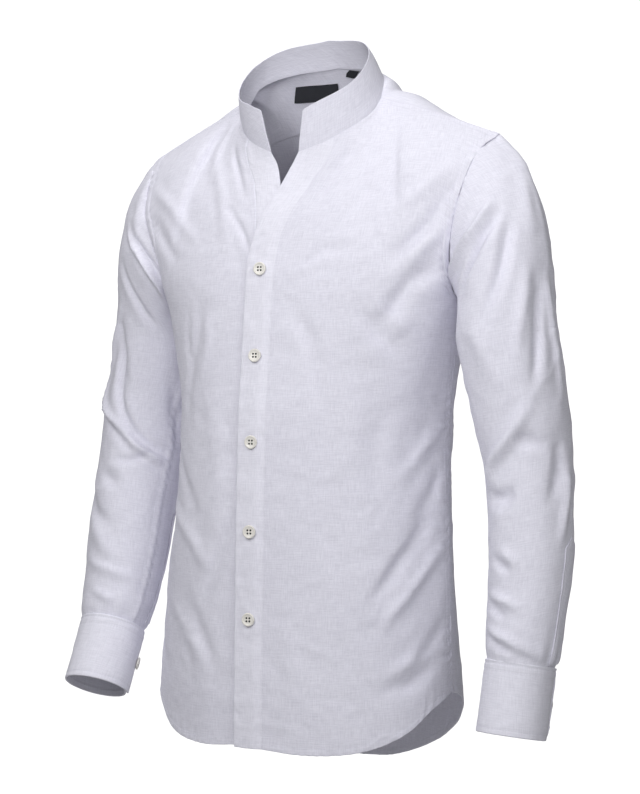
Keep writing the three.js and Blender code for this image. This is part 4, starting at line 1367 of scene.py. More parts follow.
# ---- Collar ----
@dataclass
class Collar:
    """Open stand collar whose square front ends stand apart.

    Attributes:
        thick: Thickness of the doubled collar.
        ends: Turns from the front centre at which the seam's left and right ends lie.
        top_ends: The same for the ends of the upper edge.
        corner: Radius of the corners.
        right_rise: How much higher the right end stands.
        length: Length of the seam, for the spacing of the columns.
        middle: How far the collar's middle swells.
        row: Distance of the stitches from the seam and the ends.
        top_row: Distance of the stitches from the upper edge.
    """

    thick: float = 2.2
    ends: tuple[float, float] = (12.0, 13.0)
    top_ends: tuple[float, float] = (23.0, 17.0)
    corner: float = 1.6
    right_rise: float = 6.5
    length: float = 380.0
    middle: float = 1.1
    row: float = 4.5
    top_row: float = 2.2

    def grid(self) -> tuple[Array, Array]:
        """Points of the collar and the turn of each column."""
        across = stations(self.length, 2.2, 1.0, start=16, end=16)
        turn = lerp(self.ends[0], 360 - self.ends[1], across)
        left = lerp(self.top_ends[0], 180.0, (turn - self.ends[0]) / (180 - self.ends[0]))
        right = lerp(180.0, 360.0 - self.top_ends[1], (turn - 180) / (180 - self.ends[1]))
        base, top = FORM.neck_seam(turn) + 0.2 * UP, FORM.collar_top(np.where(turn <= 180, left, right))
        top = top + vec(0, 0, self.right_rise * smoothstep(turn, 300, 347))
        cut = corner_cut(np.minimum(across, 1 - across) * self.length, self.corner)
        reach = 1 - cut / np.linalg.norm(top - base, axis=-1)
        rows = stations(38, 1.5, 1.0, start=7, end=8)
        grid = lerp(base[None], top[None], (rows[:, None] * reach[None])[..., None])
        out = (grid - np.array([*FORM.neck[:2], 0.0])) * np.array([1, 1, 0])
        return grid + unit(out) * (self.middle * np.sin(np.pi * rows))[:, None, None], turn

    def build(self, finishes: Finishes) -> None:
        """Makes the collar and its stitches, and dresses them."""
        self.panel = Panel(*self.grid())
        press_all(self.panel, (
            Rumple(0.35, (40, 40, 30), seed=41),
            Hem(Edge.BOTTOM, self.row, 0.0, (self.row,), 0.12, 13, 8, groove=0.1),
            Hem(Edge.TOP, 2, 0.0, (self.top_row,), 0.15, 11, 8, groove=0.1),
            *side_hems(self.row, 0.0, (self.row,), 0.1, 12, 8, groove=0.1),
            Crease(((60, -18), (75, 2), (95, 18)), 0.9, 7), Crease(((300, -10), (285, 6)), -0.8, 6)))
        thinner = smoothstep(self.panel.from_edge(Edge.BOTTOM), 0, 6) - 1
        thinner = thinner - 0.5 * (1 - smoothstep(self.panel.from_edge(Edge.TOP), 0, 5))
        collar = cloth("collar", self.panel, self.thick, finishes.cotton, thinner)
        lines = []
        for lift in (0.06, 0.2 - self.thick):
            lines += self.panel.insets(
                (Edge.BOTTOM, self.row, 0.012, 0.988, lift, 400), (Edge.TOP, self.top_row, 0.012, 0.988, lift, 400),
                (Edge.START, self.row, 0.08, 0.86, lift, 30), (Edge.END, self.row, 0.08, 0.86, lift, 30))
        sewn = StitchRows(radius=0.17).sew("stitches_collar", lines, finishes.thread)
        LOG.info("collar %.4f m2", self.panel.area())


# ---- Sleeves ----
@dataclass
class Sleeve:
    """A sleeve with its cuff, the strip over its opening and the cuff button.

    Attributes:
        side: Side of the wearer.
        creases: Creases placed by turn round the arm and level.
        end_turn: Turn at which the cuff's upper end lies.
        slit_turn: Turn at which the opening's strip lies.
        seam: Turns of the two stitch rows of the felled underseam.
        cloth: Thickness of the cloth.
        cuff_thick: Thickness of the doubled cuff.
        cuff_height: Height of the cuff.
        cuff_half: Radius of the closed cuff.
        cuff_corner: Radius of the cuff's lower corners.
        cuff_row: Distance of the stitches from the cuff's lower edge and ends.
        cuff_top_rows: Distances of the two stitch rows from the cuff's upper edge.
        lap: How far the cuff's ends lie over each other.
        strip: Width and length of the strip over the opening.
        gathers: How many gathers lie round the sleeve's lower end.
        pucker: Spacing of the puckers along the underseam.
    """

    side: Side
    creases: tuple[Crease, ...]
    end_turn: float
    slit_turn: float
    seam: tuple[float, float]
    cloth: float = 1.0
    cuff_thick: float = 2.2
    cuff_height: float = 72.0
    cuff_half: float = 35.6
    cuff_corner: float = 13.0
    cuff_row: float = 5.0
    cuff_top_rows: tuple[float, float] = (1.8, 9.5)
    lap: float = 24.0
    strip: tuple[float, float] = (24.0, 128.0)
    gathers: int = 11
    pucker: float = 11.5

    @property
    def wrist(self) -> float:
        """Level at which the sleeve ends."""
        return FORM.arms[self.side].rows[-1][0]

    @property
    def cuff_length(self) -> float:
        """Length of the cuff from end to end."""
        return 2 * math.pi * self.cuff_half + self.lap

    def grid(self) -> tuple[Array, Array]:
        """Points of the plain sleeve and the turn of each column."""
        side, s = self.side, self.side.value
        first, last = FORM.arms[side].rows[0][0], self.wrist
        turn = np.linspace(0, 360, 112, endpoint=False)
        front = turn <= 180
        share = np.where(front, turn / 180, (360 - turn) / 180)
        start = np.where(front[:, None], FORM.armhole(side, Face.FRONT, share),
                         FORM.armhole(side, Face.BACK, share))
        leave = unit(vec(s * 0.8 * np.ones_like(turn), -0.3 * np.sin(np.radians(turn)), -0.56 * np.ones_like(turn)))
        upper = FORM.arm_point(side, np.full_like(turn, first), turn)
        down = FORM.arm_frame(side, np.array(first))[1]
        rows = stations(150, 3.2, 1.5, start=8)
        cap = sweep(start[None], leave[None], upper[None], np.broadcast_to(down, upper.shape)[None],
                    rows[:, None, None])
        z = lerp(first, last, stations(abs(last - first), 3.0, 1.5, end=9)[1:])
        arm = FORM.arm_point(side, *np.broadcast_arrays(z[:, None], turn[None]))
        return np.concatenate([cap, arm]), turn

    def cuff_point(self, share: Array, drop: Array) -> Array:
        """Points of the cuff's strip: share 0 is the end that lies under, 1 the end on top."""
        centre, down, out, ahead = FORM.arm_frame(self.side, np.array(self.wrist))
        lap = math.degrees(self.lap / self.cuff_half)
        angle = np.radians(self.end_turn - (1 - share) * (360 + lap))
        half = self.cuff_half + smoothstep(share, 0.45, 0.85) * (self.cuff_thick + 0.6)
        return (centre + (half * np.cos(angle))[..., None] * out + (half * np.sin(angle))[..., None] * ahead
                + np.asarray(drop)[..., None] * down)

    def cuff_panel(self) -> Panel:
        """The cuff as a panel with rounded lower corners."""
        share = stations(self.cuff_length, 2.3, 1.0, start=15, end=15)
        cut = corner_cut(np.minimum(share, 1 - share) * self.cuff_length, self.cuff_corner)
        rows = stations(self.cuff_height, 2.2, 1.1, start=9, end=8)
        drop = 0.2 + rows[:, None] * (self.cuff_height - 0.2 - cut)[None]
        grid = self.cuff_point(np.broadcast_to(share[None], drop.shape), drop)
        return Panel(grid, share, flip=self.side is Side.RIGHT)

    def ripples(self, turn: Array) -> Array:
        """Height of the gathers, the eased cap and the puckered underseam at every point."""
        top, low = self.panel.from_edge(Edge.TOP), self.panel.from_edge(Edge.BOTTOM)
        angle = np.radians(turn)
        gathers = np.sin(angle * self.gathers + 1.7 * np.sin(angle * 3))
        near = (bump(low, 26) * (0.5 + 0.5 * np.cos(np.radians(turn - self.slit_turn)))
                * smoothstep(low, 0.5, 9))
        cap = bump(top, 16) * bump((turn + 180) % 360 - 180, 60)
        first, last = self.seam
        along = self.panel.v[:, :-1]
        wave = np.sin(2 * np.pi * along / self.pucker + 1.3 * np.sin(along / 19)) * (0.7 + 0.3 * np.sin(along / 23))
        inseam = (1.0 + wave) * bump(turn - (first + last) / 2, (last - first) / 2)[None]
        inseam = inseam - 0.7 * (bump(turn - first, 2.4) + bump(turn - last, 2.4))[None]
        ripple = -2.4 * bump(low, 8) + 1.3 * gathers[None] * near + 0.8 * np.sin(angle * 33)[None] * cap + inseam
        return ripple * smoothstep(top, -1, 4)

    def build(self, finishes: Finishes) -> None:
        """Makes the sleeve, cuff, strip and their stitches, and dresses them."""
        word, left = self.side.word, self.side is Side.LEFT
        points, turn = self.grid()
        self.panel = Panel(points, turn, flip=not left, wrap=True, level_row=len(points) // 2)
        ripple = self.ripples(turn)
        press_all(self.panel, (*self.creases, Rumple(0.9, (30, 30, 34), seed=51 if left else 61),
                               Hem(Edge.TOP, 1.8, -0.95, (), 0.8, 7, 9)))
        crown = 0.75 * bump(self.panel.from_edge(Edge.TOP), 2.0) * bump((turn + 180) % 360 - 180, 45)
        self.panel.press(ripple + crown)
        sleeve = cloth(f"sleeve_{word}", self.panel, self.cloth, finishes.cotton)
        self.cuff = self.cuff_panel()
        press_all(self.cuff, (
            Rumple(0.4, (30, 30, 26), seed=71 if left else 81),
            Hem(Edge.TOP, 9.5, 0.0, self.cuff_top_rows, 0.3, 11, 9, groove=0.7),
            Hem(Edge.BOTTOM, 5, 0.0, (self.cuff_row,), 0.22, 12, 9),
            *side_hems(5, 0.0, (self.cuff_row,), 0.1, 12, 8)))
        # The cuff's doubled finish is lighter partly as painted light.
        cuff = cloth(f"cuff_{word}", self.cuff, self.cuff_thick, finishes.doubled)
        self.build_strip(finishes)
        near, far = self.cuff_top_rows
        on_cuff = StitchRows().sew(f"stitches_cuff_{word}", self.cuff.insets(
            (Edge.TOP, near, 0.01, 0.99, LIFT), (Edge.TOP, far, 0.02, 0.98, LIFT),
            (Edge.BOTTOM, self.cuff_row, 0.02, 0.98, LIFT),
            (Edge.BOTTOM, self.cuff_row, 0.02, 0.98, -self.cuff_thick - LIFT),
            (Edge.START, self.cuff_row, 0.1, 0.9, LIFT, 40), (Edge.END, self.cuff_row, 0.1, 0.9, LIFT, 40)),
            finishes.thread)
        rows = np.linspace(6, len(self.panel.points) - 3, 260)
        seams = [self.panel.at(rows, np.full_like(rows, self.panel.column_of(t)), LIFT) for t in self.seam]
        on_sleeve = StitchRows(radius=0.27).sew(f"stitches_sleeve_{word}", seams, finishes.thread)
        LOG.info("sleeve %s %.4f m2, cuff %.4f m2", word, self.panel.area(), self.cuff.area())

    def build_strip(self, finishes: Finishes) -> None:
        """Makes the pointed strip over the sleeve opening from the sleeve's own points."""
        word = self.side.word
        width, length = self.strip
        rows, columns = stations(length, 3.0, 1.2, start=12), stations(width, 2.2, 1.0, start=4, end=4)
        z = self.wrist + 2 + (1 - rows) * length
        narrow = np.clip(rows * length / 11, 0.04, 1)
        half = np.degrees(width / 2 / FORM.arms[self.side].read(z, "across")) * narrow
        turn = self.slit_turn + half[:, None] * (1 - 2 * columns)[None]
        column = self.panel.column_of(turn.ravel())
        row = self.panel.row_of(column, np.repeat(z, len(columns)))
        grid = self.panel.at(row, column, 1.0).reshape(len(rows), len(columns), 3)
        self.slip = Panel(grid, columns, flip=self.side is Side.LEFT)
        press_all(self.slip, side_hems(2, 0.0, (SEAM_ROW,), 0.12, 12, 5))
        strip = cloth(f"gauntlet_{word}", self.slip, 0.9, finishes.cotton)
        sewn = StitchRows().sew(f"stitches_gauntlet_{word}", self.slip.insets(
            (Edge.START, SEAM_ROW, 0.1, 0.98, LIFT, 80), (Edge.END, SEAM_ROW, 0.1, 0.98, LIFT, 80)),
            finishes.thread)


# ---- Buttons ----
@dataclass
class Button:
    """Four-hole button with a raised rim and a dished middle.

    Attributes:
        radius: Half its width.
        thick: Its thickness.
        rim: Width of the raised rim.
        dish: Depth of the middle under the rim.
        hole: Radius of a hole.
        spread: Distance of each hole from the middle, along both ways.
        tilt: How far a front button leans to the wearer's left.
        turns: Number of steps round the button.
        drill_turns: Number of steps round a hole.
        slit: Half the length of a buttonhole.
    """

    radius: float = 7.3
    thick: float = 2.6
    rim: float = 1.5
    dish: float = 0.7
    hole: float = 1.1
    spread: float = 1.65
    tilt: float = 0.22
    turns: int = 40
    drill_turns: int = 14
    slit: float = 8.5

    def turned(self, name: str) -> Object:
        """Turned body of the button, facing +Z with its back at zero."""
        r, t = self.radius, self.thick
        middle = t - self.dish
        profile = [(0, 0), (r * 0.78, 0), (r * 0.93, t * 0.22), (r, t * 0.52), (r * 0.985, t * 0.72),
                   (r * 0.94, t * 0.9), (r * 0.88, t), (r - self.rim, t * 0.97), (r - self.rim - 0.5, t * 0.82),
                   (r - self.rim - 0.9, middle), (r * 0.4, middle - 0.05), (0, middle - 0.05)]
        points, faces = [], []
        n = len(profile) - 2
        for k in range(self.turns):
            a, m = 2 * math.pi * k / self.turns, (k + 1) % self.turns
            points += [(x * math.cos(a), x * math.sin(a), z) for x, z in profile[1:-1]]
            faces += [(k * n + q, m * n + q, m * n + q + 1, k * n + q + 1) for q in range(n - 1)]
            faces += [(m * n, k * n, self.turns * n), (k * n + n - 1, m * n + n - 1, self.turns * n + 1)]
        points += [(0, 0, profile[0][1]), (0, 0, profile[-1][1])]
        return mesh_object(name, np.array(points), faces)

    def drill(self, name: str) -> Object:
        """Four rods that cut the holes."""
        sides = self.drill_turns
        points, faces = [], []
        for x, y in ((1, 1), (-1, 1), (-1, -1), (1, -1)):
            base = len(points)
            for z in (0.5, self.thick + 1.0):
                for k in range(sides):
                    a = 2 * math.pi * k / sides
                    points.append((x * self.spread + self.hole * math.cos(a),
                                   y * self.spread + self.hole * math.sin(a), z))
            low, high = range(base, base + sides), range(base + sides, base + 2 * sides)
            for k in range(sides):
                m = (k + 1) % sides
                faces.append((low[k], low[m], high[m], high[k]))
            faces += [tuple(low)[::-1], tuple(high)]
        return mesh_object(name, np.array(points), faces)

    def solid(self, name: str, finishes: Finishes) -> Object:
        """The button with its holes cut blind and lined with the dark tape finish as painted shade."""
        body, drill = self.turned(name), self.drill(name + "_drill")
        body.data.materials.append(finishes.ivory)
        # The drill's dark finish passes to the walls and floors of the blind holes: painted shade, not a real part.
        drill.data.materials.append(finishes.tape)
        cut = body.modifiers.new("holes", "BOOLEAN")
        cut.operation, cut.object, cut.solver, cut.material_mode = "DIFFERENCE", drill, "EXACT", "TRANSFER"
        bpy.context.view_layer.update()
        mesh = bpy.data.meshes.new_from_object(body.evaluated_get(bpy.context.evaluated_depsgraph_get()))
        body.modifiers.clear()
        body.data = mesh
        bpy.data.objects.remove(drill)
        return body

    def place(self, obj: Object, at: Array, normal: Array) -> None:
        """Turns a mesh to face along a normal at a place in millimetres."""
        z = unit(normal)
        x = unit(np.cross(UP, z))
        turn = np.stack([x, np.cross(z, x), z], axis=1)
        co = np.empty(len(obj.data.vertices) * 3, np.float32)
        obj.data.vertices.foreach_get("co", co)
        co = co.reshape(-1, 3) @ turn.T + at * MM
        obj.data.vertices.foreach_set("co", co.astype(np.float32).ravel())
        obj.data.update()

    def put(self, name: str, cad: str, spot: tuple[Panel, Array, Array], proud: float, tilt: float,
            finishes: Finishes) -> None:
        """Makes a button on a panel and dresses it.

        Args:
            name: Name of the piece.
            cad: The node that it stands for.
            spot: The panel, and the row and column where the button sits.
            proud: How far its back stands over the cloth.
            tilt: How far it leans to the wearer's left.
            finishes: The shirt's finishes.
        """
        panel, row, column = spot
        at, over = (panel.at(row, column, height)[0] for height in (0.0, 1.0))
        body = self.solid(name, finishes)
        self.place(body, at + (over - at) * proud, over - at + vec(tilt, 0, 0))
        body.data.polygons.foreach_set("use_smooth", [True] * len(body.data.polygons))
        body.data.set_sharp_from_angle(angle=math.radians(50))
        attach(body, "root")
        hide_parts(cad)
        LOG.info("%s: %d faces", body.name, len(body.data.polygons))

    def on_placket(self, band: Panel, number: int, z: float, finishes: Finishes) -> Array:
        """Puts a button on the placket and returns the line round its buttonhole."""
        column = band.column_of(np.array([BUTTON_COLUMN]))
        self.put(f"button_front_{number}", f"button_{number}", (band, band.row_of(column, z), column),
                 1.3, self.tilt, finishes)
        top, low = band.trace([(BUTTON_COLUMN, z + self.slit), (BUTTON_COLUMN, z - self.slit)], 2, 0.15)
        angle = np.linspace(0, 2 * math.pi, 49)
        way, reach = unit(top - low), np.linalg.norm(top - low) / 2
        sideways = unit(np.cross(way, [0, -1.0, 0]))
        return ((top + low) / 2 + way * (np.cos(angle) * reach)[:, None]
                + sideways * np.clip(np.sin(angle) * 3, -1, 1)[:, None])

    def on_cuff(self, arm: Sleeve, finishes: Finishes) -> None:
        """Puts a button on the middle of a cuff's lap."""
        column = arm.cuff.column_of(np.array([1 - arm.lap / 2 / arm.cuff_length]))
        self.put(f"button_cuff_{arm.side.word}", f"cuff_button_{arm.side.word}",
                 (arm.cuff, np.array([len(arm.cuff.points) / 2]), column), 0.3, 0.0, finishes)


# ---- Tapes ----
@dataclass
class Tape:
    """A small blank tape sewn inside the yoke.

    Attributes:
        name: Name of the tape.
        top: Depth down the yoke of its upper edge, and where that edge starts and ends along X.
        bottom: The same for its lower edge.
        tilt: How much deeper its far end lies than its near one.
        proud: How far the face that is seen lies inside the cloth's outer face.
        thick: Thickness of the tape.
    """

    name: str
    top: tuple[float, float, float]
    bottom: tuple[float, float, float]
    tilt: float = 0.04
    proud: float = 2.0
    thick: float = 0.7

    def build(self, yoke: Panel, finishes: Finishes) -> None:
        """Makes the tape on the yoke's inner side and dresses it."""
        down, along = np.linspace(0, 1, 10), np.linspace(0, 1, 24)
        depth = lerp(self.top[0], self.bottom[0], down)
        row = (np.maximum(depth[:, None] + self.tilt * (along[None] - 0.3), 0.012) * (len(yoke.points) - 1)).ravel()
        left = lerp(self.top[1], self.bottom[1], down)
        right = lerp(self.top[2], self.bottom[2], down)
        x = lerp(left[:, None], right[:, None], along[None]).ravel()
        count = yoke.points.shape[1]
        column = []
        for r, place in zip(row, x):
            profile = yoke.at(np.full(count, r), np.arange(count, dtype=float))[:, 0]
            column.append(np.interp(place, profile, np.arange(count)))
        grid = yoke.at(row, np.array(column), -self.proud).reshape(len(down), len(along), 3)
        panel = Panel(grid, along, flip=self.top[2] < self.top[1])
        piece = dress(shell(f"tape_{self.name}", panel, self.thick), finishes.tape, "label", self.name)
        size = float(panel.u[:, -1].mean()) * MM, float(panel.v[-1].mean()) * MM
        LOG.info("%s %.1f x %.1f mm", self.name, size[0] / MM, size[1] / MM)


# ---- Setting ----
def beside_camera(turn: float, right: float, near: float, up: float) -> tuple[float, float, float]:
    """Place given by how far it lies to the right, towards the camera and up, in metres."""
    return (right * math.cos(turn) + near * math.sin(turn), right * math.sin(turn) - near * math.cos(turn), up)


@dataclass(frozen=True)
class Lamp:
    """A soft square lamp that looks at the shirt's middle.

    Attributes:
        name: Its name.
        place: How far it stands to the right, towards the camera and up, in metres.
        size: Its width in metres.
        power: Its power in watts.
        aim: What it looks at.
    """

    name: str
    place: tuple[float, float, float]
    size: float
    power: float
    aim: tuple[float, float, float] = (0.03, 0.0, -0.3)

    def build(self, turn: float) -> None:
        """Adds the lamp for a camera at a turn in radians."""
        light = bpy.data.lights.new(self.name, "AREA")
        light.size, light.energy = self.size, self.power
        obj = bpy.data.objects.new(self.name, light)
        bpy.context.scene.collection.objects.link(obj)
        obj.location = beside_camera(turn, *self.place)
        obj.rotation_euler = (Vector(self.aim) - obj.location).to_track_quat("-Z", "Y").to_euler()


@dataclass
class Setting:
    """Pale floor, soft studio light and the camera; sizes are in metres.

    Attributes:
        azimuth: Degrees from the shirt's front to the camera, to the wearer's left.
        distance: Distance of the camera.
        level: Height of the camera.
        aside: How far the camera stands to the right.
        focal: Focal length of the lens in millimetres.
        floor: Level of the floor.
        near: Where the floor starts, before the shirt.
        flat_end: Where the floor starts to rise, behind the shirt.
        bend: Radius of the rise.
        half_width: Half the width of the floor.
        height: Height of the backdrop.
        lamps: The lamps.
    """

    azimuth: float = 32.0
    distance: float = 2.25
    level: float = -0.326
    aside: float = 0.0111
    focal: float = 91.8
    floor: float = -0.95
    near: float = 3.0
    flat_end: float = 1.6
    bend: float = 1.2
    half_width: float = 4.5
    height: float = 5.0
    lamps: tuple[Lamp, ...] = (
        Lamp("high", (-1.1, 1.2, 1.4), 0.35, 9), Lamp("left", (-0.75, 1.25, 0.25), 0.5, 8),
        Lamp("right", (0.75, 1.25, 0.35), 0.5, 4), Lamp("front", (0.05, 1.3, 0.1), 0.5, 3),
        Lamp("low", (0.35, 1.3, -0.75), 0.6, 1), Lamp("top", (-0.1, -0.1, 1.5), 0.7, 11.5))

    def paper(self, back: Array, side: Array) -> Material:
        """Grey paper that glows white behind the shirt and fades out to both sides and above."""
        material, tree, shader = principled("studio_paper", {
            "Base Color": (0.45, 0.45, 0.45, 1), "Roughness": 0.9, "Specular IOR Level": 0.0,
            "Emission Color": (1, 1, 1, 1)})
        place, high = node(tree, "ShaderNodeTexCoord"), node(tree, "ShaderNodeSeparateXYZ")
        behind, beside = (node(tree, "ShaderNodeVectorMath", {1: tuple(way)}, operation="DOT_PRODUCT")
                          for way in (back, side))
        away = node(tree, "ShaderNodeMath", operation="ABSOLUTE")
        glow, edge, low = ranges(tree, (0.1, 0.85, 0.0, 0.95), (0.95, 1.35, 1.0, 0.1), (0.95, 1.3, 1.0, 0.1))
        middle, light = (node(tree, "ShaderNodeMath", operation="MULTIPLY") for _ in range(2))
        wire(tree, (place, "Object", behind, 0), (behind, "Value", glow, "Value"), (place, "Object", beside, 0),
             (beside, "Value", away, 0), (away, 0, edge, "Value"), (place, "Object", high, 0),
             (high, "Z", low, "Value"), (edge, 0, middle, 0), (low, 0, middle, 1), (middle, 0, light, 0),
             (glow, 0, light, 1), (light, 0, shader, "Emission Strength"))
        return material

    def stage_floor(self) -> None:
        """Makes the pale floor that rises into a backdrop."""
        a = math.radians(self.azimuth)
        back, side = np.array([-math.sin(a), math.cos(a), 0.0]), np.array([math.cos(a), math.sin(a), 0.0])
        rise = [(self.flat_end + self.bend * math.sin(t), self.bend - self.bend * math.cos(t))
                for t in np.linspace(0, math.pi / 2, 16)]
        profile = [(-self.near, 0.0), *rise, (self.flat_end + self.bend, self.height)]
        points = [(back * reach + side * across + UP * (self.floor + up)) / MM
                  for reach, up in profile for across in (-self.half_width, self.half_width)]
        faces = [(2 * k, 2 * k + 1, 2 * k + 3, 2 * k + 2) for k in range(len(profile) - 1)]
        backdrop = mesh_object("studio_sweep", np.array(points), faces)
        backdrop.data.materials.append(self.paper(back, side))

    def set_camera(self) -> None:
        """Adds the camera, level with the shirt's middle and turned to the wearer's left."""
        a = math.radians(self.azimuth)
        camera = bpy.data.cameras.new("camera")
        camera.lens, camera.sensor_width = self.focal, 36.0
        camera.clip_start, camera.clip_end = 0.1, 30.0
        obj = bpy.data.objects.new("camera", camera)
        bpy.context.scene.collection.objects.link(obj)
        obj.location = beside_camera(a, self.aside, self.distance, self.level)
        obj.rotation_euler = (math.radians(90), 0, a)
        bpy.context.scene.camera = obj

    def build(self) -> None:
        """Makes the floor, camera, lamps and the sky's even light."""
        self.set_camera()
        self.stage_floor()
        for lamp in self.lamps:
            lamp.build(math.radians(self.azimuth))
        world = bpy.data.worlds.new("sky")
        bpy.context.scene.world = world
        world.use_nodes = True
        sky = world.node_tree.nodes["Background"]
        sky.inputs[0].default_value, sky.inputs[1].default_value = (0.98, 0.985, 1.0, 1), 0.10
        bpy.context.scene.view_settings.view_transform = "Standard"


# ---- Creases, by share of the way from the band to the side and by level ----
LEFT_FRONT = creases(
    (((0.96, -101), (0.85, -137), (0.62, -169), (0.49, -184)), -5.0, 8),
    (((0.9, -83), (0.76, -109), (0.54, -137)), 2.8, 8),
    (((0.9, -185), (0.64, -205), (0.56, -231), (0.5, -257)), -5.0, 11),
    (((0.95, -148), (0.76, -167), (0.61, -190)), 3.4, 8), (((0.38, -231), (0.49, -260), (0.62, -278)), -3.8, 9),
    (((0.45, -222), (0.55, -245), (0.68, -258)), 2.2, 7), (((0.07, -49), (0.04, -83), (0.03, -117)), 2.0, 5),
    (((0.14, -57), (0.11, -89), (0.09, -125)), -2.0, 5), (((0.11, -183), (0.2, -168), (0.32, -170)), -1.8, 7),
    (((0.07, -222), (0.2, -270), (0.25, -329)), -2.0, 10), (((0.18, -172), (0.25, -132), (0.38, -94)), -1.4, 8),
    (((0.97, -350), (0.85, -380), (0.68, -414)), 2.4, 9), (((0.35, -290), (0.42, -350), (0.38, -430)), 1.5, 14),
    (((0.6, -328), (0.54, -382), (0.57, -434)), -2.0, 12),
    (((0.9, -452), (0.69, -497), (0.52, -541)), -4.4, 9, 0.3), (((0.98, -480), (0.75, -529), (0.57, -564)), 3.6, 8),
    (((0.88, -605), (0.71, -628), (0.54, -633)), -3.4, 9), (((0.8, -586), (0.7, -606), (0.6, -616)), 2.4, 8),
    (((0.95, -400), (0.9, -430), (0.76, -470)), -2.4, 9), (((0.3, -494), (0.33, -550), (0.32, -612)), 1.6, 13),
    (((0.97, -560), (0.85, -590), (0.7, -600)), -2.0, 8), (((0.1, -560), (0.14, -620), (0.1, -680)), 1.4, 11),
)
RIGHT_FRONT = creases(
    (((0.03, -457), (0.13, -501), (0.21, -556)), -3.2, 9), (((0.07, -403), (0.23, -439), (0.38, -484)), 2.6, 9),
    (((0.3, -548), (0.18, -589), (0.11, -640)), -2.4, 9), (((0.16, -44), (0.11, -76), (0.06, -106)), -2.2, 4),
    (((0.14, -119), (0.07, -142), (0.01, -172)), -2.0, 4), (((0.94, -86), (0.62, -119), (0.32, -154)), 2.4, 7),
    (((0.92, -124), (0.68, -155), (0.49, -175)), -3.0, 8),
    (((0.28, -224), (0.3, -257), (0.4, -311), (0.44, -351)), -2.4, 8),
    (((0.5, -9), (0.47, -48), (0.5, -71)), -1.6, 5), (((0.4, -14), (0.37, -47), (0.35, -83)), 1.5, 5),
    (((0.37, -232), (0.4, -263), (0.4, -296)), -2.0, 6), (((0.22, -240), (0.23, -274), (0.3, -312)), 2.0, 7),
    (((0.45, -36), (0.21, -98), (0.13, -165)), 1.5, 7), (((0.66, -380), (0.44, -417), (0.25, -460)), -2.6, 9),
    (((0.7, -438), (0.35, -473), (0.14, -516)), 2.6, 9), (((0.46, -550), (0.25, -592), (0.1, -632)), 2.0, 10),
    (((0.18, -328), (0.13, -404), (0.14, -500)), 1.5, 14), (((0.9, -250), (0.7, -290), (0.6, -340)), -2.7, 9),
    (((0.95, -420), (0.8, -470), (0.7, -540)), 2.7, 11), (((0.85, -560), (0.65, -600), (0.5, -620)), -2.2, 9),
)
BACK = creases(
    (((-0.1, -420), (0.3, -440), (0.7, -430)), -3.0, 12, 0.3),
    (((-0.5, -400), (0.0, -455), (0.35, -470)), 3.2, 11, -0.3), (((0.2, -380), (0.6, -400)), 2.4, 10),
    (((-0.8, -430), (-0.4, -460)), -2.4, 12), (((0.45, -500), (0.4, -600), (0.35, -690)), 2.4, 16),
    (((-0.4, -500), (-0.42, -620)), -2.2, 18), (((0.9, -150), (0.5, -200), (0.2, -230)), -2.0, 13),
    (((-0.9, -150), (-0.5, -210)), -2.2, 13), (((0.05, -60), (0.08, -160), (0.02, -260)), 1.6, 16),
    (((-0.2, -250), (-0.25, -340)), 1.6, 14), (((0.9, -120), (0.78, -140), (0.62, -150)), 1.6, 7),
    (((-0.9, -125), (-0.75, -150), (-0.6, -158)), 1.6, 7), (((0.95, -350), (0.8, -385), (0.6, -410)), 2.0, 9),
    (((-0.95, -355), (-0.8, -390), (-0.62, -412)), 2.0, 9), (((0.1, -520), (0.05, -600), (0.1, -680)), -1.6, 15),
    (((-0.9, -540), (-0.7, -600), (-0.6, -640)), 1.7, 11),
)
YOKE = creases((((0.5, -20), (0.8, -50)), 0.9, 10), (((-0.5, -20), (-0.8, -50)), -0.8, 10))
LEFT_ARM = creases(
    (((48, -125), (84, -160), (148, -204)), 7.5, 5, 0.3),
    (((45, -136), (74, -165), (109, -202), (130, -225)), -6.5, 5), (((39, -146), (58, -192), (93, -256)), -5.6, 7),
    (((19, -203), (29, -268), (42, -311)), -5.2, 6), (((30, -190), (44, -240), (60, -300)), 3.4, 7),
    (((6, -200), (3, -268), (3, -323)), 4.2, 5),
    (((55, -332), (71, -355), (94, -376), (122, -398), (130, -413)), 7.5, 8, 0.3),
    (((134, -430), (102, -430), (84, -420)), -6.9, 9), (((76, -367), (55, -371), (40, -379)), -3.8, 8),
    (((22, -370), (22, -398), (36, -432)), -4.5, 8), (((6, -400), (10, -432), (20, -475)), 3.9, 6),
    (((132, -527), (96, -532), (72, -541)), 3.9, 5), (((132, -562), (84, -572), (38, -587)), 3.9, 5),
    (((108, -481), (80, -496)), 3.0, 6), (((132, -537), (94, -547)), -3.3, 5), (((132, -569), (76, -583)), -3.3, 5),
    (((124, -490), (94, -502)), -3.2, 5), (((3, -76), (13, -123), (20, -168)), 2.4, 9),
    (((108, -246), (90, -290), (76, -324)), 2.8, 12), (((250, -380), (290, -400), (330, -395)), -5.1, 10),
    (((240, -300), (300, -340)), 4.2, 10), (((215, -220), (260, -280), (270, -330)), 4.5, 10),
    (((330, -450), (300, -500)), -3.6, 10), (((230, -520), (270, -535), (310, -560)), 3.3, 7),
    (((340, -220), (320, -280), (330, -330)), -3.3, 11), (((200, -400), (230, -420), (260, -430)), 4.5, 8),
)
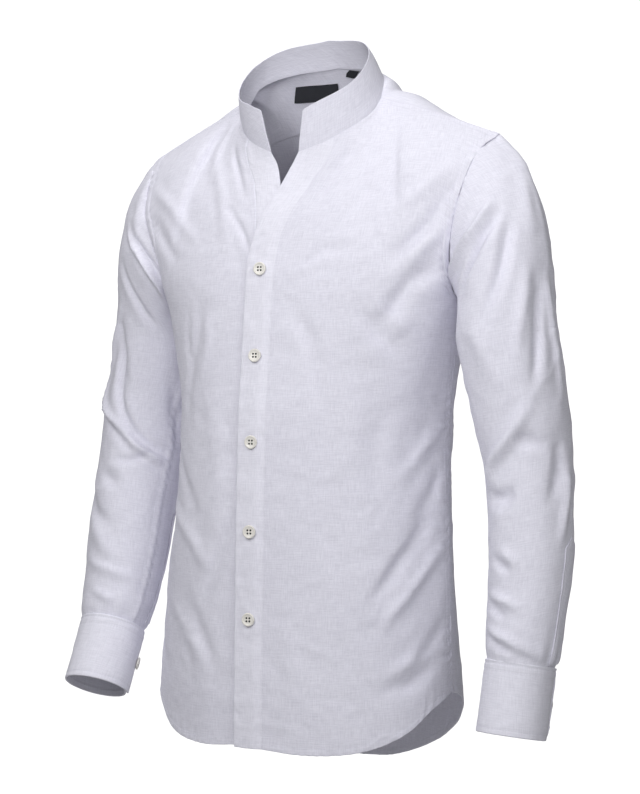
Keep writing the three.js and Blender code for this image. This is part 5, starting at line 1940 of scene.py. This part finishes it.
RIGHT_ARM = creases(
    (((58, -130), (90, -159), (112, -180), (135, -200), (151, -217)), 5.0, 4, 0.3),
    (((74, -138), (106, -168), (132, -191)), -4.5, 4),
    (((68, -170), (90, -204), (109, -229), (122, -244)), -4.0, 5), (((55, -232), (68, -264), (90, -330)), -3.9, 8),
    (((64, -214), (42, -259), (39, -301)), 4.5, 5, 0.3),
    (((36, -290), (34, -330), (84, -359), (116, -383), (145, -396), (161, -405)), 6.5, 5, 0.3),
    (((71, -264), (74, -306), (87, -335), (109, -365), (135, -385), (154, -391)), -5.5, 5),
    (((61, -351), (93, -367), (112, -382)), -5.0, 6), (((90, -398), (116, -399), (138, -391)), -3.5, 5),
    (((68, -411), (100, -426)), -3.0, 8), (((148, -307), (167, -352), (177, -387)), -3.0, 8),
    (((62, -513), (106, -523), (140, -531)), 2.8, 6), (((82, -545), (124, -557)), 2.4, 5),
    (((34, -75), (60, -110), (86, -150)), 3.0, 8), (((250, -380), (300, -410)), -4.8, 10),
    (((220, -250), (280, -320)), 4.2, 11), (((330, -430), (300, -500)), 3.3, 10),
    (((60, -470), (110, -510)), 2.4, 10), (((30, -430), (60, -455), (95, -470)), -3.0, 8),
    (((180, -300), (215, -330), (240, -380)), -3.9, 10), (((20, -200), (30, -260), (25, -310)), 3.0, 9),
)


def main() -> None:
    """Builds the shirt's pieces in order and reports each one."""
    logging.basicConfig(level=logging.INFO, format="%(message)s")
    Setting().build()
    finishes = Finishes()
    left = Front(Side.LEFT, Table(("share", "z"), (
        (0, -698), (0.2, -701), (0.45, -696), (0.66, -680), (0.85, -655), (1, -641))), 40.0, 12.0, LEFT_FRONT)
    right = Front(Side.RIGHT, Table(("share", "z"), (
        (0, -696), (0.2, -699), (0.4, -690), (0.58, -664), (0.8, -645), (1, -638))), 42.0, 13.0, RIGHT_FRONT)
    backs = BackPanels(YOKE, BACK)
    arms = (Sleeve(Side.LEFT, LEFT_ARM, -40.0, -6.0, (174.0, 187.0)),
            Sleeve(Side.RIGHT, RIGHT_ARM, 230.0, 216.0, (158.0, 171.0)))
    for part in (left, right, backs, Collar(), *arms):
        part.build(finishes)
    button = Button()
    loops = [button.on_placket(left.band, number, z, finishes) for number, z in enumerate(BUTTON_LEVELS, start=1)]
    StitchRows(pitch=0.8, length=0.95, radius=0.3).sew("buttonholes", loops, finishes.thread)
    for arm in arms:
        button.on_cuff(arm, finishes)
    for tape in (Tape("neck_label", (0.29, -6.0, -57.0), (0.53, -9.0, -63.0)),
                 Tape("size_tab", (0.02, 16.0, 30.0), (0.19, 8.0, 21.0))):
        tape.build(backs.yoke, finishes)


if __name__ == "__main__":
    main()
